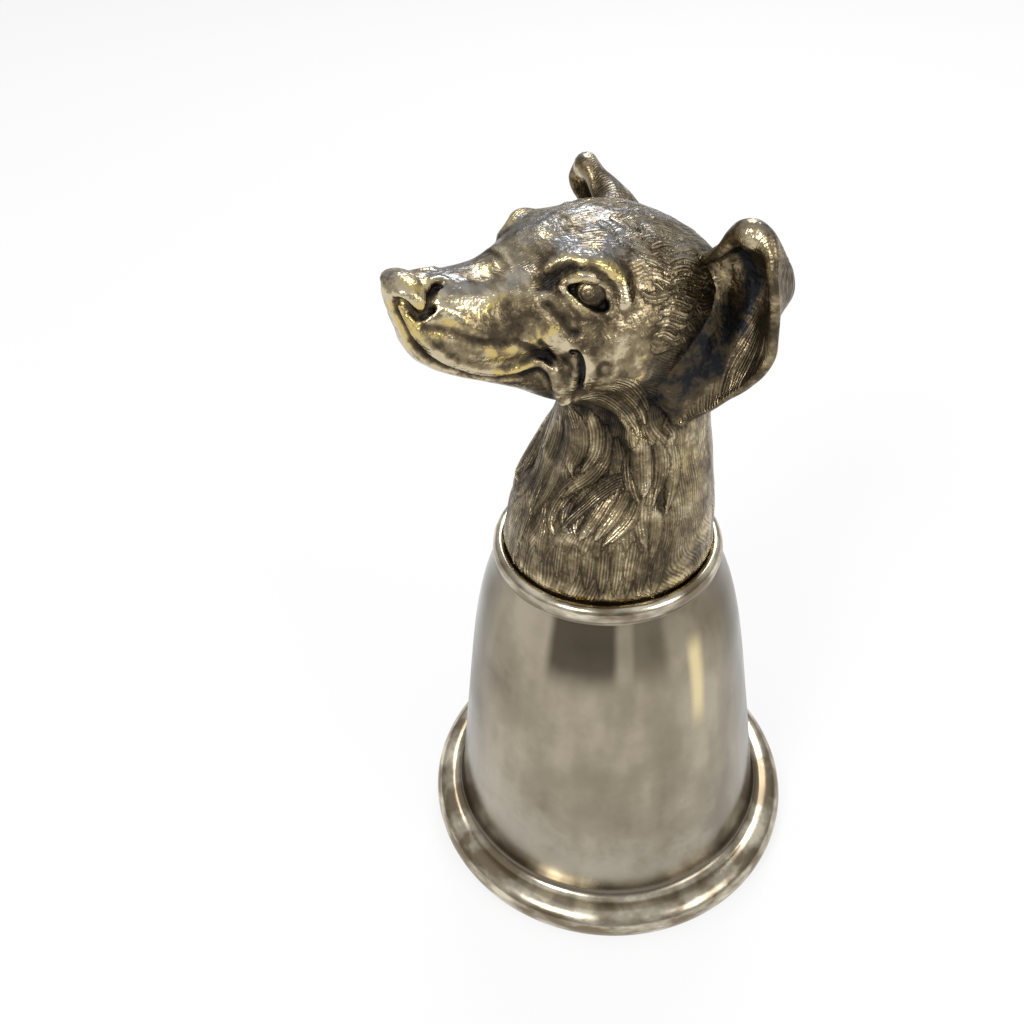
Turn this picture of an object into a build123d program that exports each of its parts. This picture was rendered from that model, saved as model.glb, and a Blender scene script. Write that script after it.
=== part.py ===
from build123d import *
from math import copysign, cos, radians, sin
import os

# A stirrup cup that stands mouth down on its rolled rim, with a cast hound's head on its closed end.
# Millimetres, +Z up. The origin is where the cup's axis meets the surface it stands on.
# The hound looks along -Y, and the left side of its head is +X.

# Spun bowl
rim_radius = 44.5
rim_bead = 7.8  # height of the rolled rim
rim_flange = 7.4  # how far the rim stands out from the wall
rest_width = 2.4  # flat land under the rim
seam_depth = 1.0  # step where the rolled edge is tucked up beside the mouth
cove_radius = 2.2
sheet = 1.1
bowl_height = 84.5  # outer face of the closed end
shoulder_width = 3.2
shoulder_rise = 2.1  # crest of the rounded shoulder above the closed end
shoulder_drop = 1.0  # crease under the shoulder, below the closed end
crease_inset = 0.4  # the crease inside the shoulder's edge
belly_height = 60.0  # where the wall starts to draw in
belly_radius = 30.0
belly_bulge = 0.9  # how far the upper wall stands out from straight
floor_round = 4.5  # inside corner of the bowl

# Neck joint, from the closed end upwards
neck_radius = 20.5
neck_gap = 0.9  # dark gap between the neck and the shoulder
washer_thickness = 0.8
washer_inset = 0.5  # washer's edge inside the neck's edge
pad_radius = 7.0
pad_thickness = 1.0
stud_radius = 3.0
stud_length = 11.0
plate_lift = 0.9  # neck plate's lower face above the neck's edge
plate_thickness = 2.4
hub_radius = 5.5
hub_height = 6.0
neck_wall = 2.4  # casting's wall at the neck's edge
ledge_width = 1.2  # step in the casting's bore that the plate is soldered against
fit = 0.1  # clearance on radius between round pieces that fit

# Hound's neck
lip_height = 3.0  # plain band at the neck's edge
neck_swell = 21.1  # radius of the ruff above the band
swell_height = 12.0
throat_radius = 15.8
throat_height = 28.0
nape_radius = 15.0
nape_height = 41.0
neck_lean = 0.16  # how far the neck leans back for its height
core_wall = 3.0  # casting's wall up the neck
core_dome = 44.0  # where the hollow starts to close inside the skull

# Hound's head
nose_reach = 40.2  # nose ahead of the cup's axis
head_length = 62.2  # nose to the back of the skull
head_width = 34.0
drawn_width = 34.0  # head width that the sections' own widths were drawn for
head_tall = 1.03  # height of the head's sections to their width
crown_height = 73.3  # crown above the neck's edge
head_sides = 22  # planished facets round the head
neck_sides = 28
muzzle_taper = 0.16  # how much narrower the muzzle is along the top than half way down
jaw_inset = 1.3  # lower jaw inside the upper lip, on each side
nostril_radius = 1.2
brow_size = 2.5

# Eyes and ears
eye_radius = 2.6
eye_sides = 16
eye_dome = 1.9  # height of the eye's round front
eye_seat = 1.2  # depth of its flat-backed seat
ear_thickness = 1.9
ear_hollow = 8.0  # depth of the ear's cupped front, where it is deepest
ear_steps = 6  # facets across the ear
ear_reach = 12.8  # ear's outer edge beyond the side of the skull

# Places that follow from the sizes above
wall_foot = rim_radius - rim_flange
recess_radius = neck_radius + neck_gap
shoulder_radius = recess_radius + shoulder_width
head_base = bowl_height + washer_thickness
plate_radius = neck_radius - neck_wall - fit
crown = head_base + crown_height
half_head = head_width / 2


def round_run(middle, size, start, end, steps):
    """Points round part of an ellipse of half sizes (across, up), from one angle in degrees to another."""
    turns = [radians(start + (end - start) * i / steps) for i in range(steps + 1)]
    return [
        (middle[0] + size[0] * cos(a), middle[1] + size[1] * sin(a)) for a in turns
    ]


def turned(points):
    """A round piece turned about the cup's axis from its (radius, height) outline."""
    profile = Plane.XZ * make_face(Polyline(*points, close=True))
    return revolve(profile, Axis.Z)


def wall_line(inset):
    """The bowl's wall from the shoulder down to the cove, moved in by inset."""
    crease = (shoulder_radius - crease_inset, bowl_height - shoulder_drop)
    belly = (belly_radius, belly_height)
    between = ((crease[0] + belly[0]) / 2 + belly_bulge, (crease[1] + belly[1]) / 2)
    foot = (wall_foot, rim_bead + cove_radius)
    return [(r - inset, z) for r, z in (crease, between, belly, foot)]


def make_cup_shell():
    half = rim_bead / 2
    bead_middle = (rim_radius - half, half)
    shoulder_middle = (recess_radius + shoulder_width / 2, bowl_height - shoulder_drop / 2)
    shoulder_size = (shoulder_width / 2, shoulder_rise + shoulder_drop / 2)
    shoulder = round_run(shoulder_middle, shoulder_size, 160, 15, 3)
    cove_middle = (wall_foot + cove_radius, rim_bead + cove_radius * 0.9)
    cove = round_run(cove_middle, (cove_radius, cove_radius), 215, 255, 1)
    bead = round_run(bead_middle, (half, half), 105, -65, 6)
    underside = [
        (bead_middle[0] + rest_width / 2, 0),
        (bead_middle[0] - rest_width / 2, 0),
        (wall_foot, sheet),
        (wall_foot - sheet / 2, sheet + seam_depth),
    ]
    inner = wall_line(sheet)[1:3]
    floor = bowl_height - sheet
    wall_top = (inner[0][0] - floor_round / 2, floor - floor_round)
    inner_wall = inner[::-1] + [wall_top]
    floor_corner = [(wall_top[0] - floor_round, floor)]
    closed_end = [(0, floor), (0, bowl_height), (recess_radius, bowl_height)]
    outside = shoulder + wall_line(0) + cove + bead + underside
    return turned(closed_end + outside + inner_wall + floor_corner)


def make_seat_washer():
    outer = neck_radius - washer_inset
    inner = pad_radius + washer_inset
    top = bowl_height + washer_thickness
    return turned(
        [(inner, bowl_height), (outer, bowl_height), (outer, top), (inner, top)]
    )


def make_mount_stud():
    pad_top = bowl_height + pad_thickness
    tip = bowl_height + stud_length
    chamfer = stud_radius / 4
    return turned(
        [
            (0, bowl_height),
            (pad_radius, bowl_height),
            (pad_radius, pad_top),
            (stud_radius, pad_top),
            (stud_radius, tip - chamfer),
            (stud_radius - chamfer, tip),
            (0, tip),
        ]
    )


def make_neck_plate():
    low = head_base + plate_lift
    bore = stud_radius + fit
    return turned(
        [
            (bore, low),
            (plate_radius, low),
            (plate_radius, low + plate_thickness),
            (hub_radius, low + plate_thickness),
            (hub_radius, low + plate_thickness + hub_height),
            (bore, low + plate_thickness + hub_height),
        ]
    )


def squared(value, power):
    """A sine or cosine pushed out towards a square's side. A power of 1 leaves it on the circle."""
    return copysign(abs(value) ** power, value)


def ring(sides, place, across, up, plane, power=1.0, taper=0.0):
    """Corners of a polygon of half sizes (across, up) round a place, narrower above by the taper."""
    corners = []
    for i in range(sides):
        turn = radians(360 * (i + 0.5) / sides)
        rise = squared(cos(turn), power)
        x = place[0] + across * squared(sin(turn), power) * (1 - taper * rise)
        y = place[1] + up * rise
        corners.append(plane.from_local_coords(Vector(x, y)))
    return corners


def planished(rings):
    """A solid with flat facets between rings, which are of one shape and in parallel planes."""
    count = len(rings[0])
    faces = [Face(Wire.make_polygon(rings[0])), Face(Wire.make_polygon(rings[-1]))]
    for near, far in zip(rings, rings[1:]):
        for i in range(count):
            j = (i + 1) % count
            faces.append(Face(Wire.make_polygon([near[i], near[j], far[j], far[i]])))
    return Part() + Solid(Shell(faces))


def neck_ring(radius, height):
    """A level section of the neck, further back the higher it is, as far as the throat."""
    lean = min(height, throat_height) * neck_lean
    level = Plane.XY.offset(head_base + height)
    return ring(neck_sides, (0, lean), radius, radius, level)


def make_neck():
    """Outside of the neck: a plain band, then a swelling ruff that narrows to the throat."""
    band = Pos(0, 0, head_base) * Cylinder(
        neck_radius, lip_height, align=(Align.CENTER, Align.CENTER, Align.MIN)
    )
    waist = (swell_height + throat_height) / 2
    ruff = planished(
        [
            neck_ring(neck_radius, lip_height),
            neck_ring(neck_swell, swell_height),
            neck_ring((neck_swell + throat_radius) / 2, waist + 1),
            neck_ring(throat_radius, throat_height),
            neck_ring(nape_radius, nape_height),
            neck_ring(nape_radius * 0.75, nape_height + nape_radius / 2),
        ]
    )
    return band + ruff


def make_core():
    """The hollow inside the casting: the plate's seat, the neck's bore and a closed end in the skull."""
    seat_radius = neck_radius - neck_wall
    seat_height = plate_lift + plate_thickness
    seat = Pos(0, 0, head_base) * Cylinder(
        seat_radius, seat_height, align=(Align.CENTER, Align.CENTER, Align.MIN)
    )
    bore = planished(
        [
            neck_ring(seat_radius - ledge_width, seat_height),
            neck_ring(neck_swell - core_wall, swell_height),
            neck_ring(throat_radius - core_wall, throat_height),
            neck_ring(nape_radius - core_wall, core_dome),
            neck_ring((nape_radius - core_wall) * 0.7, core_dome + 6),
            neck_ring((nape_radius - core_wall) * 0.3, core_dome + 8),
        ]
    )
    return seat + bore


def station(share, top, half_width, power=1.0, taper=0.0):
    """A section across the head: share of its length from the nose, and the top's depth below the crown."""
    across = half_width * head_width / drawn_width
    up = across * head_tall
    middle = crown - top - up
    plane = Plane.XZ.offset(nose_reach - share * head_length)
    return ring(head_sides, (0, middle), across, up, plane, power, taper)


def make_skull():
    """Forehead, skull and poll, rising steeply from the stop."""
    return planished(
        [
            station(0.300, 7.6, 7.6),
            station(0.360, 3.0, 11.6),
            station(0.440, 1.0, 14.4),
            station(0.560, 0.0, 16.6),
            station(0.720, 0.8, 17.0),
            station(0.850, 4.6, 15.2),
            station(0.950, 10.4, 10.8),
            station(1.000, 15.4, 5.6),
        ]
    )


def make_muzzle():
    """Nose, bridge and hanging upper lips, with a squarer section than the skull."""
    square = 0.76
    return planished(
        [
            station(0.000, 5.4, 2.6, square, muzzle_taper),
            station(0.025, 3.9, 4.6, square, muzzle_taper),
            station(0.055, 3.2, 5.7, square, muzzle_taper),
            station(0.110, 3.9, 6.9, square, muzzle_taper),
            station(0.180, 4.4, 8.0, square, muzzle_taper),
            station(0.280, 4.8, 8.8, square, muzzle_taper),
            station(0.380, 4.4, 9.8, square, muzzle_taper),
            station(0.520, 4.4, 10.6, square, muzzle_taper),
        ]
    )


def make_jaw():
    """Lower jaw, set inside the upper lips."""
    square = 0.8
    return planished(
        [
            station(0.045, 10.8, 5.0 - jaw_inset, square),
            station(0.120, 11.4, 6.4 - jaw_inset, square),
            station(0.250, 13.0, 7.9 - jaw_inset, square),
            station(0.400, 14.6, 9.8 - jaw_inset, square),
            station(0.560, 15.0, 12.0 - jaw_inset, square),
        ]
    )


def sides(make):
    """The same piece on the left and right of the head."""
    left = make()
    return left, mirror(left, Plane.YZ)


def head_point(across, along, drop):
    """A place on the left of the head: shares of its half width and length, and depth below the crown."""
    return Vector(across * half_head, along * head_length - nose_reach, crown - drop)


def brow():
    """A ridge over the eye, thickest in the middle."""
    inner = head_point(0.46, 0.37, 6.2)
    outer = head_point(0.82, 0.56, 9.2)
    run = outer - inner
    shape = Plane(inner, z_dir=run)
    rings = []
    for share, size in ((0, 0.3), (0.2, 0.8), (0.5, 1.0), (0.8, 0.8), (1, 0.3)):
        radius = brow_size * size
        rings.append(ring(8, (0, 0), radius, radius, shape.offset(run.length * share)))
    return planished(rings)


def nostril():
    """The hollow cut by one nostril."""
    drill = Plane(head_point(0.17, 0.0, 6.8), z_dir=(-0.4, 1.0, -0.1))
    wide = ring(8, (0, 0), nostril_radius, nostril_radius, drill)
    narrow = nostril_radius / 2
    return planished([wide, ring(8, (0, 0), narrow, narrow, drill.offset(4.0))])


def eye_plane():
    """Where the left eye sits: its origin in the socket, its Z axis pointing out of the head."""
    return Plane(head_point(0.66, 0.474, 9.8), z_dir=(0.80, -0.52, 0.30))


def make_eye():
    """A domed bead, flat behind."""
    plane = eye_plane()
    rings = [ring(eye_sides, (0, 0), eye_radius, eye_radius, plane.offset(-eye_seat))]
    for size, rise in round_run((0, 0), (eye_radius, eye_dome), 0, 75, 4):
        rings.append(ring(eye_sides, (0, 0), size, size, plane.offset(rise)))
    return planished(rings)


def make_socket():
    """The room that an eye takes in the casting, with its clearance, open to the front."""
    plane = eye_plane()
    size = eye_radius + fit
    deep = ring(eye_sides, (0, 0), size, size, plane.offset(-eye_seat))
    mouth = ring(eye_sides, (0, 0), size * 1.4, size * 1.4, plane.offset(eye_radius * 3))
    return planished([deep, ring(eye_sides, (0, 0), size, size, plane), mouth])


def ear_section(drop, root, tip, depth, thickness):
    """A crescent across the ear, cupped to the front, between two head points each of (across, along)."""
    start = head_point(*root, drop)
    run = head_point(*tip, drop) - start
    back = Vector(-run.Y, run.X).normalized()
    rear = []
    front = []
    for i in range(ear_steps + 1):
        share = i / ear_steps
        line = start + run * share + back * (4 * ear_hollow * depth * share * (1 - share))
        rear.append(line + back * (thickness / 2))
        front.append(line - back * (thickness / 2))
    return rear + front[::-1]


def creased(rings):
    """A solid with three-cornered facets from ring to ring, for rings that turn and change shape."""
    count = len(rings[0])
    faces = [Face(Wire.make_polygon(rings[0])), Face(Wire.make_polygon(rings[-1]))]
    for near, far in zip(rings, rings[1:]):
        for i in range(count):
            j = (i + 1) % count
            faces.append(Face(Wire.make_polygon([near[i], near[j], far[j]])))
            faces.append(Face(Wire.make_polygon([near[i], far[j], far[i]])))
    return Part() + Solid(Shell(faces))


def make_ear(block):
    """A drop ear blown back from the head and cupped at the front, cut to sit on the block's skin."""
    edge = 1 + ear_reach / half_head
    sections = [
        ear_section(38.6, (0.76, 0.690), (edge - 0.80, 0.725), 0.10, ear_thickness * 0.65),
        ear_section(34.6, (0.76, 0.680), (edge - 0.59, 0.790), 0.25, ear_thickness),
        ear_section(29.0, (0.80, 0.670), (edge - 0.32, 0.858), 0.40, ear_thickness),
        ear_section(23.4, (0.84, 0.700), (edge - 0.20, 0.885), 0.55, ear_thickness),
        ear_section(17.4, (0.82, 0.755), (edge - 0.07, 0.850), 0.80, ear_thickness),
        ear_section(11.6, (0.72, 0.800), (edge, 0.813), 1.00, ear_thickness),
        ear_section(6.8, (0.74, 0.800), (edge - 0.03, 0.818), 0.85, ear_thickness * 1.2),
        ear_section(3.4, (1.04, 0.805), (edge - 0.15, 0.835), 0.45, ear_thickness * 1.8),
        ear_section(0.8, (1.22, 0.815), (edge - 0.33, 0.840), 0.15, ear_thickness * 1.4),
    ]
    whole = creased(sections) - block
    return max(whole.solids(), key=lambda piece: piece.volume)


def make_head():
    """The whole casting, and its outside as a plain block that the ears are trimmed against."""
    outside = make_skull() + make_muzzle() + make_jaw() + make_neck()
    for ridge in sides(brow):
        outside += ridge
    casting = outside - make_core()
    for cut in (*sides(nostril), *sides(make_socket)):
        casting -= cut
    return casting, outside


def save(piece, name):
    export_step(piece, f"parts/{name}.step")
    solids = piece.solids()
    print(name, "solids", len(solids), "volume", round(sum(s.volume for s in solids)))


os.makedirs("parts", exist_ok=True)
head, block = make_head()
left_ear, right_ear = sides(lambda: make_ear(block))
left_eye, right_eye = sides(make_eye)
save(make_cup_shell(), "cup_shell")
save(make_seat_washer(), "seat_washer")
save(make_mount_stud(), "mount_stud")
save(make_neck_plate(), "neck_plate")
save(head, "head_casting")
save(left_ear, "left_ear")
save(right_ear, "right_ear")
save(left_eye, "left_eye")
save(right_eye, "right_eye")
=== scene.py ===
import math

import bpy
import numpy as np
import openvdb
from mathutils import Matrix, Vector


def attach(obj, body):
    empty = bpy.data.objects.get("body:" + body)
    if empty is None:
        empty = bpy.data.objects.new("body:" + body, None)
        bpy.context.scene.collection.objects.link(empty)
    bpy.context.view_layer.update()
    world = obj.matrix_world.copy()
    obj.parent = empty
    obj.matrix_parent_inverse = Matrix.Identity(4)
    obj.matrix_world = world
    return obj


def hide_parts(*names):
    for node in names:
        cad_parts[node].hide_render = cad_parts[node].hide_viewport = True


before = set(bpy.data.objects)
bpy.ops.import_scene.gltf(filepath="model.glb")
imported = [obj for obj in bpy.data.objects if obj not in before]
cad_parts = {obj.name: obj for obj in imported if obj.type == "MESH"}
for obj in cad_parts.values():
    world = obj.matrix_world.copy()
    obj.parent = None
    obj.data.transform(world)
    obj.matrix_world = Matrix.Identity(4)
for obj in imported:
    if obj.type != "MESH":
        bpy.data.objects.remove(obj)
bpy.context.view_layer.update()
scene = bpy.context.scene
print("frame loaded:", ", ".join(sorted(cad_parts)))

# Everything below is worked out in millimetres in the frame's axes, and becomes metres in newPiece.
# The hound looks along -Y, the left side of its head is +X, and Z is up.

# Camera, at the photograph's viewing angle

photoCamera = dict(
    place=(129.2, -83.9, 217.35),
    around=57.0,  # degrees that the view is turned about the cup's axis
    pitch=38.93,
    yaw=-7.288,
    roll=-4.297,
    focal=955.0,  # in pixels of the photograph
    side=1024,  # the photograph's width and height in pixels
    sensor=36.0,
)


def cameraAxes():
    # right, up and forward, as rows
    pitch, yaw, roll, around = (math.radians(photoCamera[k]) for k in ("pitch", "yaw", "roll", "around"))
    forward = np.array([math.sin(yaw) * math.cos(pitch), math.cos(yaw) * math.cos(pitch), -math.sin(pitch)])
    right = np.cross(forward, [0, 0, 1])
    right /= np.linalg.norm(right)
    up = np.cross(right, forward)
    rows = [
        math.cos(roll) * right + math.sin(roll) * up,
        -math.sin(roll) * right + math.cos(roll) * up,
        forward,
    ]
    turn = np.array(
        [[math.cos(around), -math.sin(around), 0], [math.sin(around), math.cos(around), 0], [0, 0, 1]]
    )
    return np.array([turn @ row for row in rows])


def makeCamera():
    axes = cameraAxes()
    data = bpy.data.cameras.new("photoView")
    data.sensor_width = photoCamera["sensor"]
    data.lens = photoCamera["focal"] / photoCamera["side"] * photoCamera["sensor"]
    camera = bpy.data.objects.new("photoView", data)
    place = Matrix((axes[0], axes[1], -axes[2])).transposed().to_4x4()
    place.translation = Vector(photoCamera["place"]) * 0.001
    camera.matrix_world = place
    scene.collection.objects.link(camera)
    scene.camera = camera


makeCamera()


# Sculpting clay: a block of distances to a surface, that shapes are added to and cut from

def softMin(a, b, blend):
    if blend <= 0:
        return np.minimum(a, b)
    mix = np.clip(0.5 + 0.5 * (b - a) / blend, 0, 1)
    return b + (a - b) * mix - blend * mix * (1 - mix)


class Clay:
    def __init__(self, low, high, step):
        self.step = step
        self.low = np.array(low, float)
        counts = [int(math.ceil((h - l) / step)) + 1 for l, h in zip(low, high)]
        self.axes = [(l + step * np.arange(n)).astype(np.float32) for l, n in zip(low, counts)]
        self.field = np.full(counts, 6.0, np.float32)

    def region(self, low, high):
        cuts = tuple(
            slice(int(np.searchsorted(axis, l)), int(np.searchsorted(axis, h)) + 1)
            for axis, l, h in zip(self.axes, low, high)
        )
        x, y, z = (axis[cut] for axis, cut in zip(self.axes, cuts))
        return cuts, x[:, None, None], y[None, :, None], z[None, None, :]

    def put(self, cuts, shape, blend, cutting=False):
        if cutting:
            self.field[cuts] = -softMin(-self.field[cuts], shape, blend)
        else:
            self.field[cuts] = softMin(self.field[cuts], shape, blend)

    def stroke(self, points, sizes, blend=0.8, cutting=False):
        # a rounded run through the points, with its own radius at each
        points = np.array(points, float)
        sizes = np.broadcast_to(np.array(sizes, float), len(points))
        reach = sizes.max() + blend + 3 * self.step
        cuts, x, y, z = self.region(points.min(0) - reach, points.max(0) + reach)
        if 0 in (x.size, y.size, z.size):
            return
        best = None
        for i in range(max(1, len(points) - 1)):
            start, end = points[i], points[min(i + 1, len(points) - 1)]
            run = end - start
            long2 = max(float(run @ run), 1e-9)
            share = ((x - start[0]) * run[0] + (y - start[1]) * run[1] + (z - start[2]) * run[2]) / long2
            share = np.clip(share, 0, 1)
            away = (x - start[0] - share * run[0]) ** 2
            away = away + (y - start[1] - share * run[1]) ** 2 + (z - start[2] - share * run[2]) ** 2
            away = np.sqrt(away) - (sizes[i] + share * (sizes[min(i + 1, len(points) - 1)] - sizes[i]))
            best = away if best is None else np.minimum(best, away)
        self.put(cuts, best, blend, cutting)

    def ball(self, middle, radii, blend=1.0, cutting=False):
        # an ellipsoid with its axes along X, Y and Z
        middle, radii = np.array(middle, float), np.array(radii, float)
        reach = radii + blend + 3 * self.step
        cuts, x, y, z = self.region(middle - reach, middle + reach)
        far = ((x - middle[0]) / radii[0]) ** 2 + ((y - middle[1]) / radii[1]) ** 2
        far = np.sqrt(far + ((z - middle[2]) / radii[2]) ** 2)
        self.put(cuts, (far - 1) * float(radii.min()), blend, cutting)

    def sections(self, table, blend, power=2.0, taper=0.0):
        # a long form along Y, narrower at the top by the taper. Each row is y, half width, top and bottom
        table = np.array(table, float)
        order = np.argsort(table[:, 0])
        table = table[order]
        low = (-2, table[0, 0] - 1, table[:, 3].min() - 4)
        high = (table[:, 1].max() + 4, table[-1, 0] + 1, table[:, 2].max() + 4)
        cuts, x, y, z = self.region(low, high)
        ys = y.ravel()
        half, top, bottom = (smoothRun(ys, table[:, 0], table[:, i]) for i in (1, 2, 3))
        half, tall, middle = half[None, :, None], ((top - bottom) / 2)[None, :, None], ((top + bottom) / 2)[None, :, None]
        lift = np.clip((z - middle) / tall, -1.3, 1.3)
        far = (np.abs(x) / (half * (1 - taper * lift))) ** power + np.abs((z - middle) / tall) ** power
        far = far ** (1 / power)
        shape = (far - 1) * np.minimum(half, tall)
        ends = np.maximum(table[0, 0] - y, y - table[-1, 0])
        self.put(cuts, np.maximum(shape, ends).astype(np.float32), blend)

    def column(self, table, blend, power=2.0):
        # an upright form. Each row of the table is z, radius across, radius along and its middle's y
        table = np.array(table, float)
        low = (-2, -45, table[0, 0] - 1)
        high = (table[:, 1].max() + 4, 45, table[-1, 0] + 1)
        cuts, x, y, z = self.region(low, high)
        zs = z.ravel()
        across, along, middle = (smoothRun(zs, table[:, 0], table[:, i])[None, None, :] for i in (1, 2, 3))
        far = (np.abs(x) / across) ** power + (np.abs(y - middle) / along) ** power
        shape = (far ** (1 / power) - 1) * np.minimum(across, along)
        ends = np.maximum(table[0, 0] - z, z - table[-1, 0])
        self.put(cuts, np.maximum(shape, ends).astype(np.float32), blend)

    def values(self, points):
        # the field at free points, by linear interpolation; X counts from the middle plane
        spot = np.array(points, float)
        spot = np.stack([np.abs(spot[:, 0]), spot[:, 1], spot[:, 2]], 1)
        spot = (spot - self.low) / self.step
        top = np.array(self.field.shape) - 1.001
        spot = np.clip(spot, 0, top)
        whole = spot.astype(int)
        part = spot - whole
        total = 0
        for corner in range(8):
            step = np.array([corner & 1, corner >> 1 & 1, corner >> 2 & 1])
            weight = np.prod(np.where(step, part, 1 - part), 1)
            i, j, k = (whole + step).T
            total = total + weight * self.field[i, j, k]
        return total

    def slope(self, points):
        points = np.array(points, float)
        small = self.step * 0.7
        parts = []
        for axis in range(3):
            nudge = np.zeros(3)
            nudge[axis] = small
            parts.append(self.values(points + nudge) - self.values(points - nudge))
        rise = np.stack(parts, 1)
        return rise / np.maximum(np.linalg.norm(rise, axis=1), 1e-6)[:, None]

    def settle(self, points, turns=6):
        # moves free points onto the surface
        points = np.array(points, float)
        for _ in range(turns):
            points = points - self.slope(points) * self.values(points)[:, None]
        return points

    def seen(self, pixels):
        # where the photograph's lines of sight first meet the surface
        pixels = np.array(pixels, float)
        axes = cameraAxes()
        side = photoCamera["side"] / 2
        flat = (pixels - side) / photoCamera["focal"]
        rays = axes[2] + flat[:, :1] * axes[0] - flat[:, 1:] * axes[1]
        rays /= np.linalg.norm(rays, axis=1)[:, None]
        eye = np.array(photoCamera["place"])
        found = []
        reach = np.arange(100.0, 245.0, 0.25)
        for ray in rays:
            line = eye + reach[:, None] * ray
            inside = np.nonzero(self.values(line) < 0)[0]
            if len(inside) == 0:  # just past the outline: the nearest place to it
                best = int(np.argmin(self.values(line)))
                found.append(line[best])
                continue
            near = int(inside[0])
            ends = self.values(line[near - 1 : near + 1])
            share = ends[0] / (ends[0] - ends[1])
            found.append(line[near - 1] + share * (line[near] - line[near - 1]))
        return self.settle(found, 3)

    def skin(self, mirrored):
        # the surface as points and four-sided faces
        field = np.concatenate([self.field[:0:-1], self.field]) if mirrored else self.field
        grid = openvdb.FloatGrid(6.0)
        grid.copyFromArray(np.clip(field, -4, 4))
        points, faces = grid.convertToQuads(isovalue=0.0)
        low = self.low.copy()
        if mirrored:
            low[0] = -self.axes[0][-1]
        return points * self.step + low, faces


def smoothRun(at, places, values):
    # a smooth curve through the values, with no overshoot to speak of
    at, places, values = (np.asarray(v, float) for v in (at, places, values))
    slopes = np.gradient(values, places)
    k = np.clip(np.searchsorted(places, at) - 1, 0, len(places) - 2)
    gap = places[k + 1] - places[k]
    t = np.clip((at - places[k]) / gap, 0, 1)
    a, b, c, d = values[k], values[k + 1], slopes[k] * gap, slopes[k + 1] * gap
    return ((2 * t**3 - 3 * t**2 + 1) * a + (t**3 - 2 * t**2 + t) * c + (3 * t**2 - 2 * t**3) * b + (t**3 - t**2) * d).astype(np.float32)


def newPiece(name, points, faces, replaced, material):
    mesh = bpy.data.meshes.new(name)
    mesh.from_pydata((np.asarray(points, float) * 0.001).tolist(), [], [tuple(int(i) for i in face) for face in faces])
    mesh.polygons.foreach_set("use_smooth", [True] * len(mesh.polygons))
    piece = bpy.data.objects.new(name, mesh)
    scene.collection.objects.link(piece)
    mesh.materials.append(material)
    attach(piece, "root")
    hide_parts(replaced)
    return piece


# The hound's head

hound = dict(
    step=0.41,
    low=(0.0, -43.0, 84.2),
    high=(28.0, 27.0, 162.0),
)


def makeHeadClay():
    clay = Clay(hound["low"], hound["high"], hound["step"])
    # skull: y, half width, top, bottom
    clay.sections(
        [
            (-19.5, 4.0, 153.4, 142.0),
            (-17.0, 8.6, 154.8, 136.0),
            (-13.0, 12.2, 156.3, 130.0),
            (-7.0, 15.3, 157.4, 126.0),
            (0.0, 16.9, 157.2, 123.5),
            (6.0, 17.0, 155.6, 122.5),
            (12.0, 15.8, 152.4, 124.0),
            (17.0, 12.6, 148.6, 128.5),
            (20.0, 8.8, 145.0, 133.0),
            (21.8, 4.0, 141.8, 137.6),
        ],
        0,
        2.1,
    )
    # muzzle with the upper lips
    clay.sections(
        [
            (-40.2, 1.8, 153.4, 149.6),
            (-39.6, 3.2, 154.4, 147.0),
            (-38.6, 4.4, 155.1, 145.0),
            (-37.0, 5.2, 154.9, 143.2),
            (-34.0, 6.3, 154.3, 140.8),
            (-31.0, 7.4, 153.7, 139.0),
            (-27.0, 8.5, 153.2, 137.4),
            (-23.0, 9.4, 153.2, 137.0),
            (-19.0, 10.4, 154.2, 137.4),
            (-14.0, 11.8, 155.2, 136.0),
            (-9.0, 12.6, 155.0, 134.0),
        ],
        3.0,
        2.3,
        0.16,
    )
    # lower jaw
    clay.sections(
        [
            (-39.0, 2.2, 147.6, 143.6),
            (-38.0, 3.4, 147.8, 141.4),
            (-36.0, 4.6, 147.0, 139.2),
            (-32.0, 5.8, 146.0, 136.4),
            (-27.0, 7.0, 145.0, 133.8),
            (-21.0, 8.4, 144.0, 130.6),
            (-15.0, 10.0, 143.0, 126.6),
            (-9.0, 11.6, 142.0, 124.0),
            (-3.0, 12.4, 140.0, 123.0),
        ],
        0.9,
        2.2,
    )
    # neck: z, radius across, radius along, middle
    clay.column(
        [
            (85.4, 20.4, 20.4, 0.1),
            (86.4, 21.2, 21.2, 0.1),
            (91.0, 21.3, 21.2, 0.5),
            (96.0, 20.7, 20.7, 1.1),
            (101.0, 19.4, 19.2, 2.2),
            (107.0, 17.5, 17.2, 3.9),
            (114.5, 15.3, 15.2, 5.4),
            (122.0, 14.1, 14.8, 6.0),
            (130.0, 14.0, 14.6, 5.6),
            (136.0, 12.0, 12.0, 5.6),
        ],
        3.5,
    )
    return clay


def smoothPath(points, gaps=4):
    # a rounded line through the points, with a few more between each pair
    points = np.array(points, float)
    count = len(points)
    places = np.arange(count, dtype=float)
    at = np.linspace(0, count - 1, (count - 1) * gaps + 1)
    return np.stack([smoothRun(at, places, points[:, i]) for i in range(points.shape[1])], 1)


def trace(clay, path, size, rise):
    # raises a ridge, or sinks a groove where rise is below nought, along a line seen in the photograph
    path = smoothPath(path)
    sizes = np.interp(np.linspace(0, 1, len(path)), np.linspace(0, 1, np.size(size)), np.atleast_1d(size))
    points = clay.seen(path)
    lift = rise - sizes if rise > 0 else sizes + rise
    points = points + clay.slope(points) * lift[:, None]
    points[:, 0] = np.abs(points[:, 0])
    clay.stroke(points, sizes, 0.3 + 0.6 * sizes.max(), cutting=rise < 0)


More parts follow.
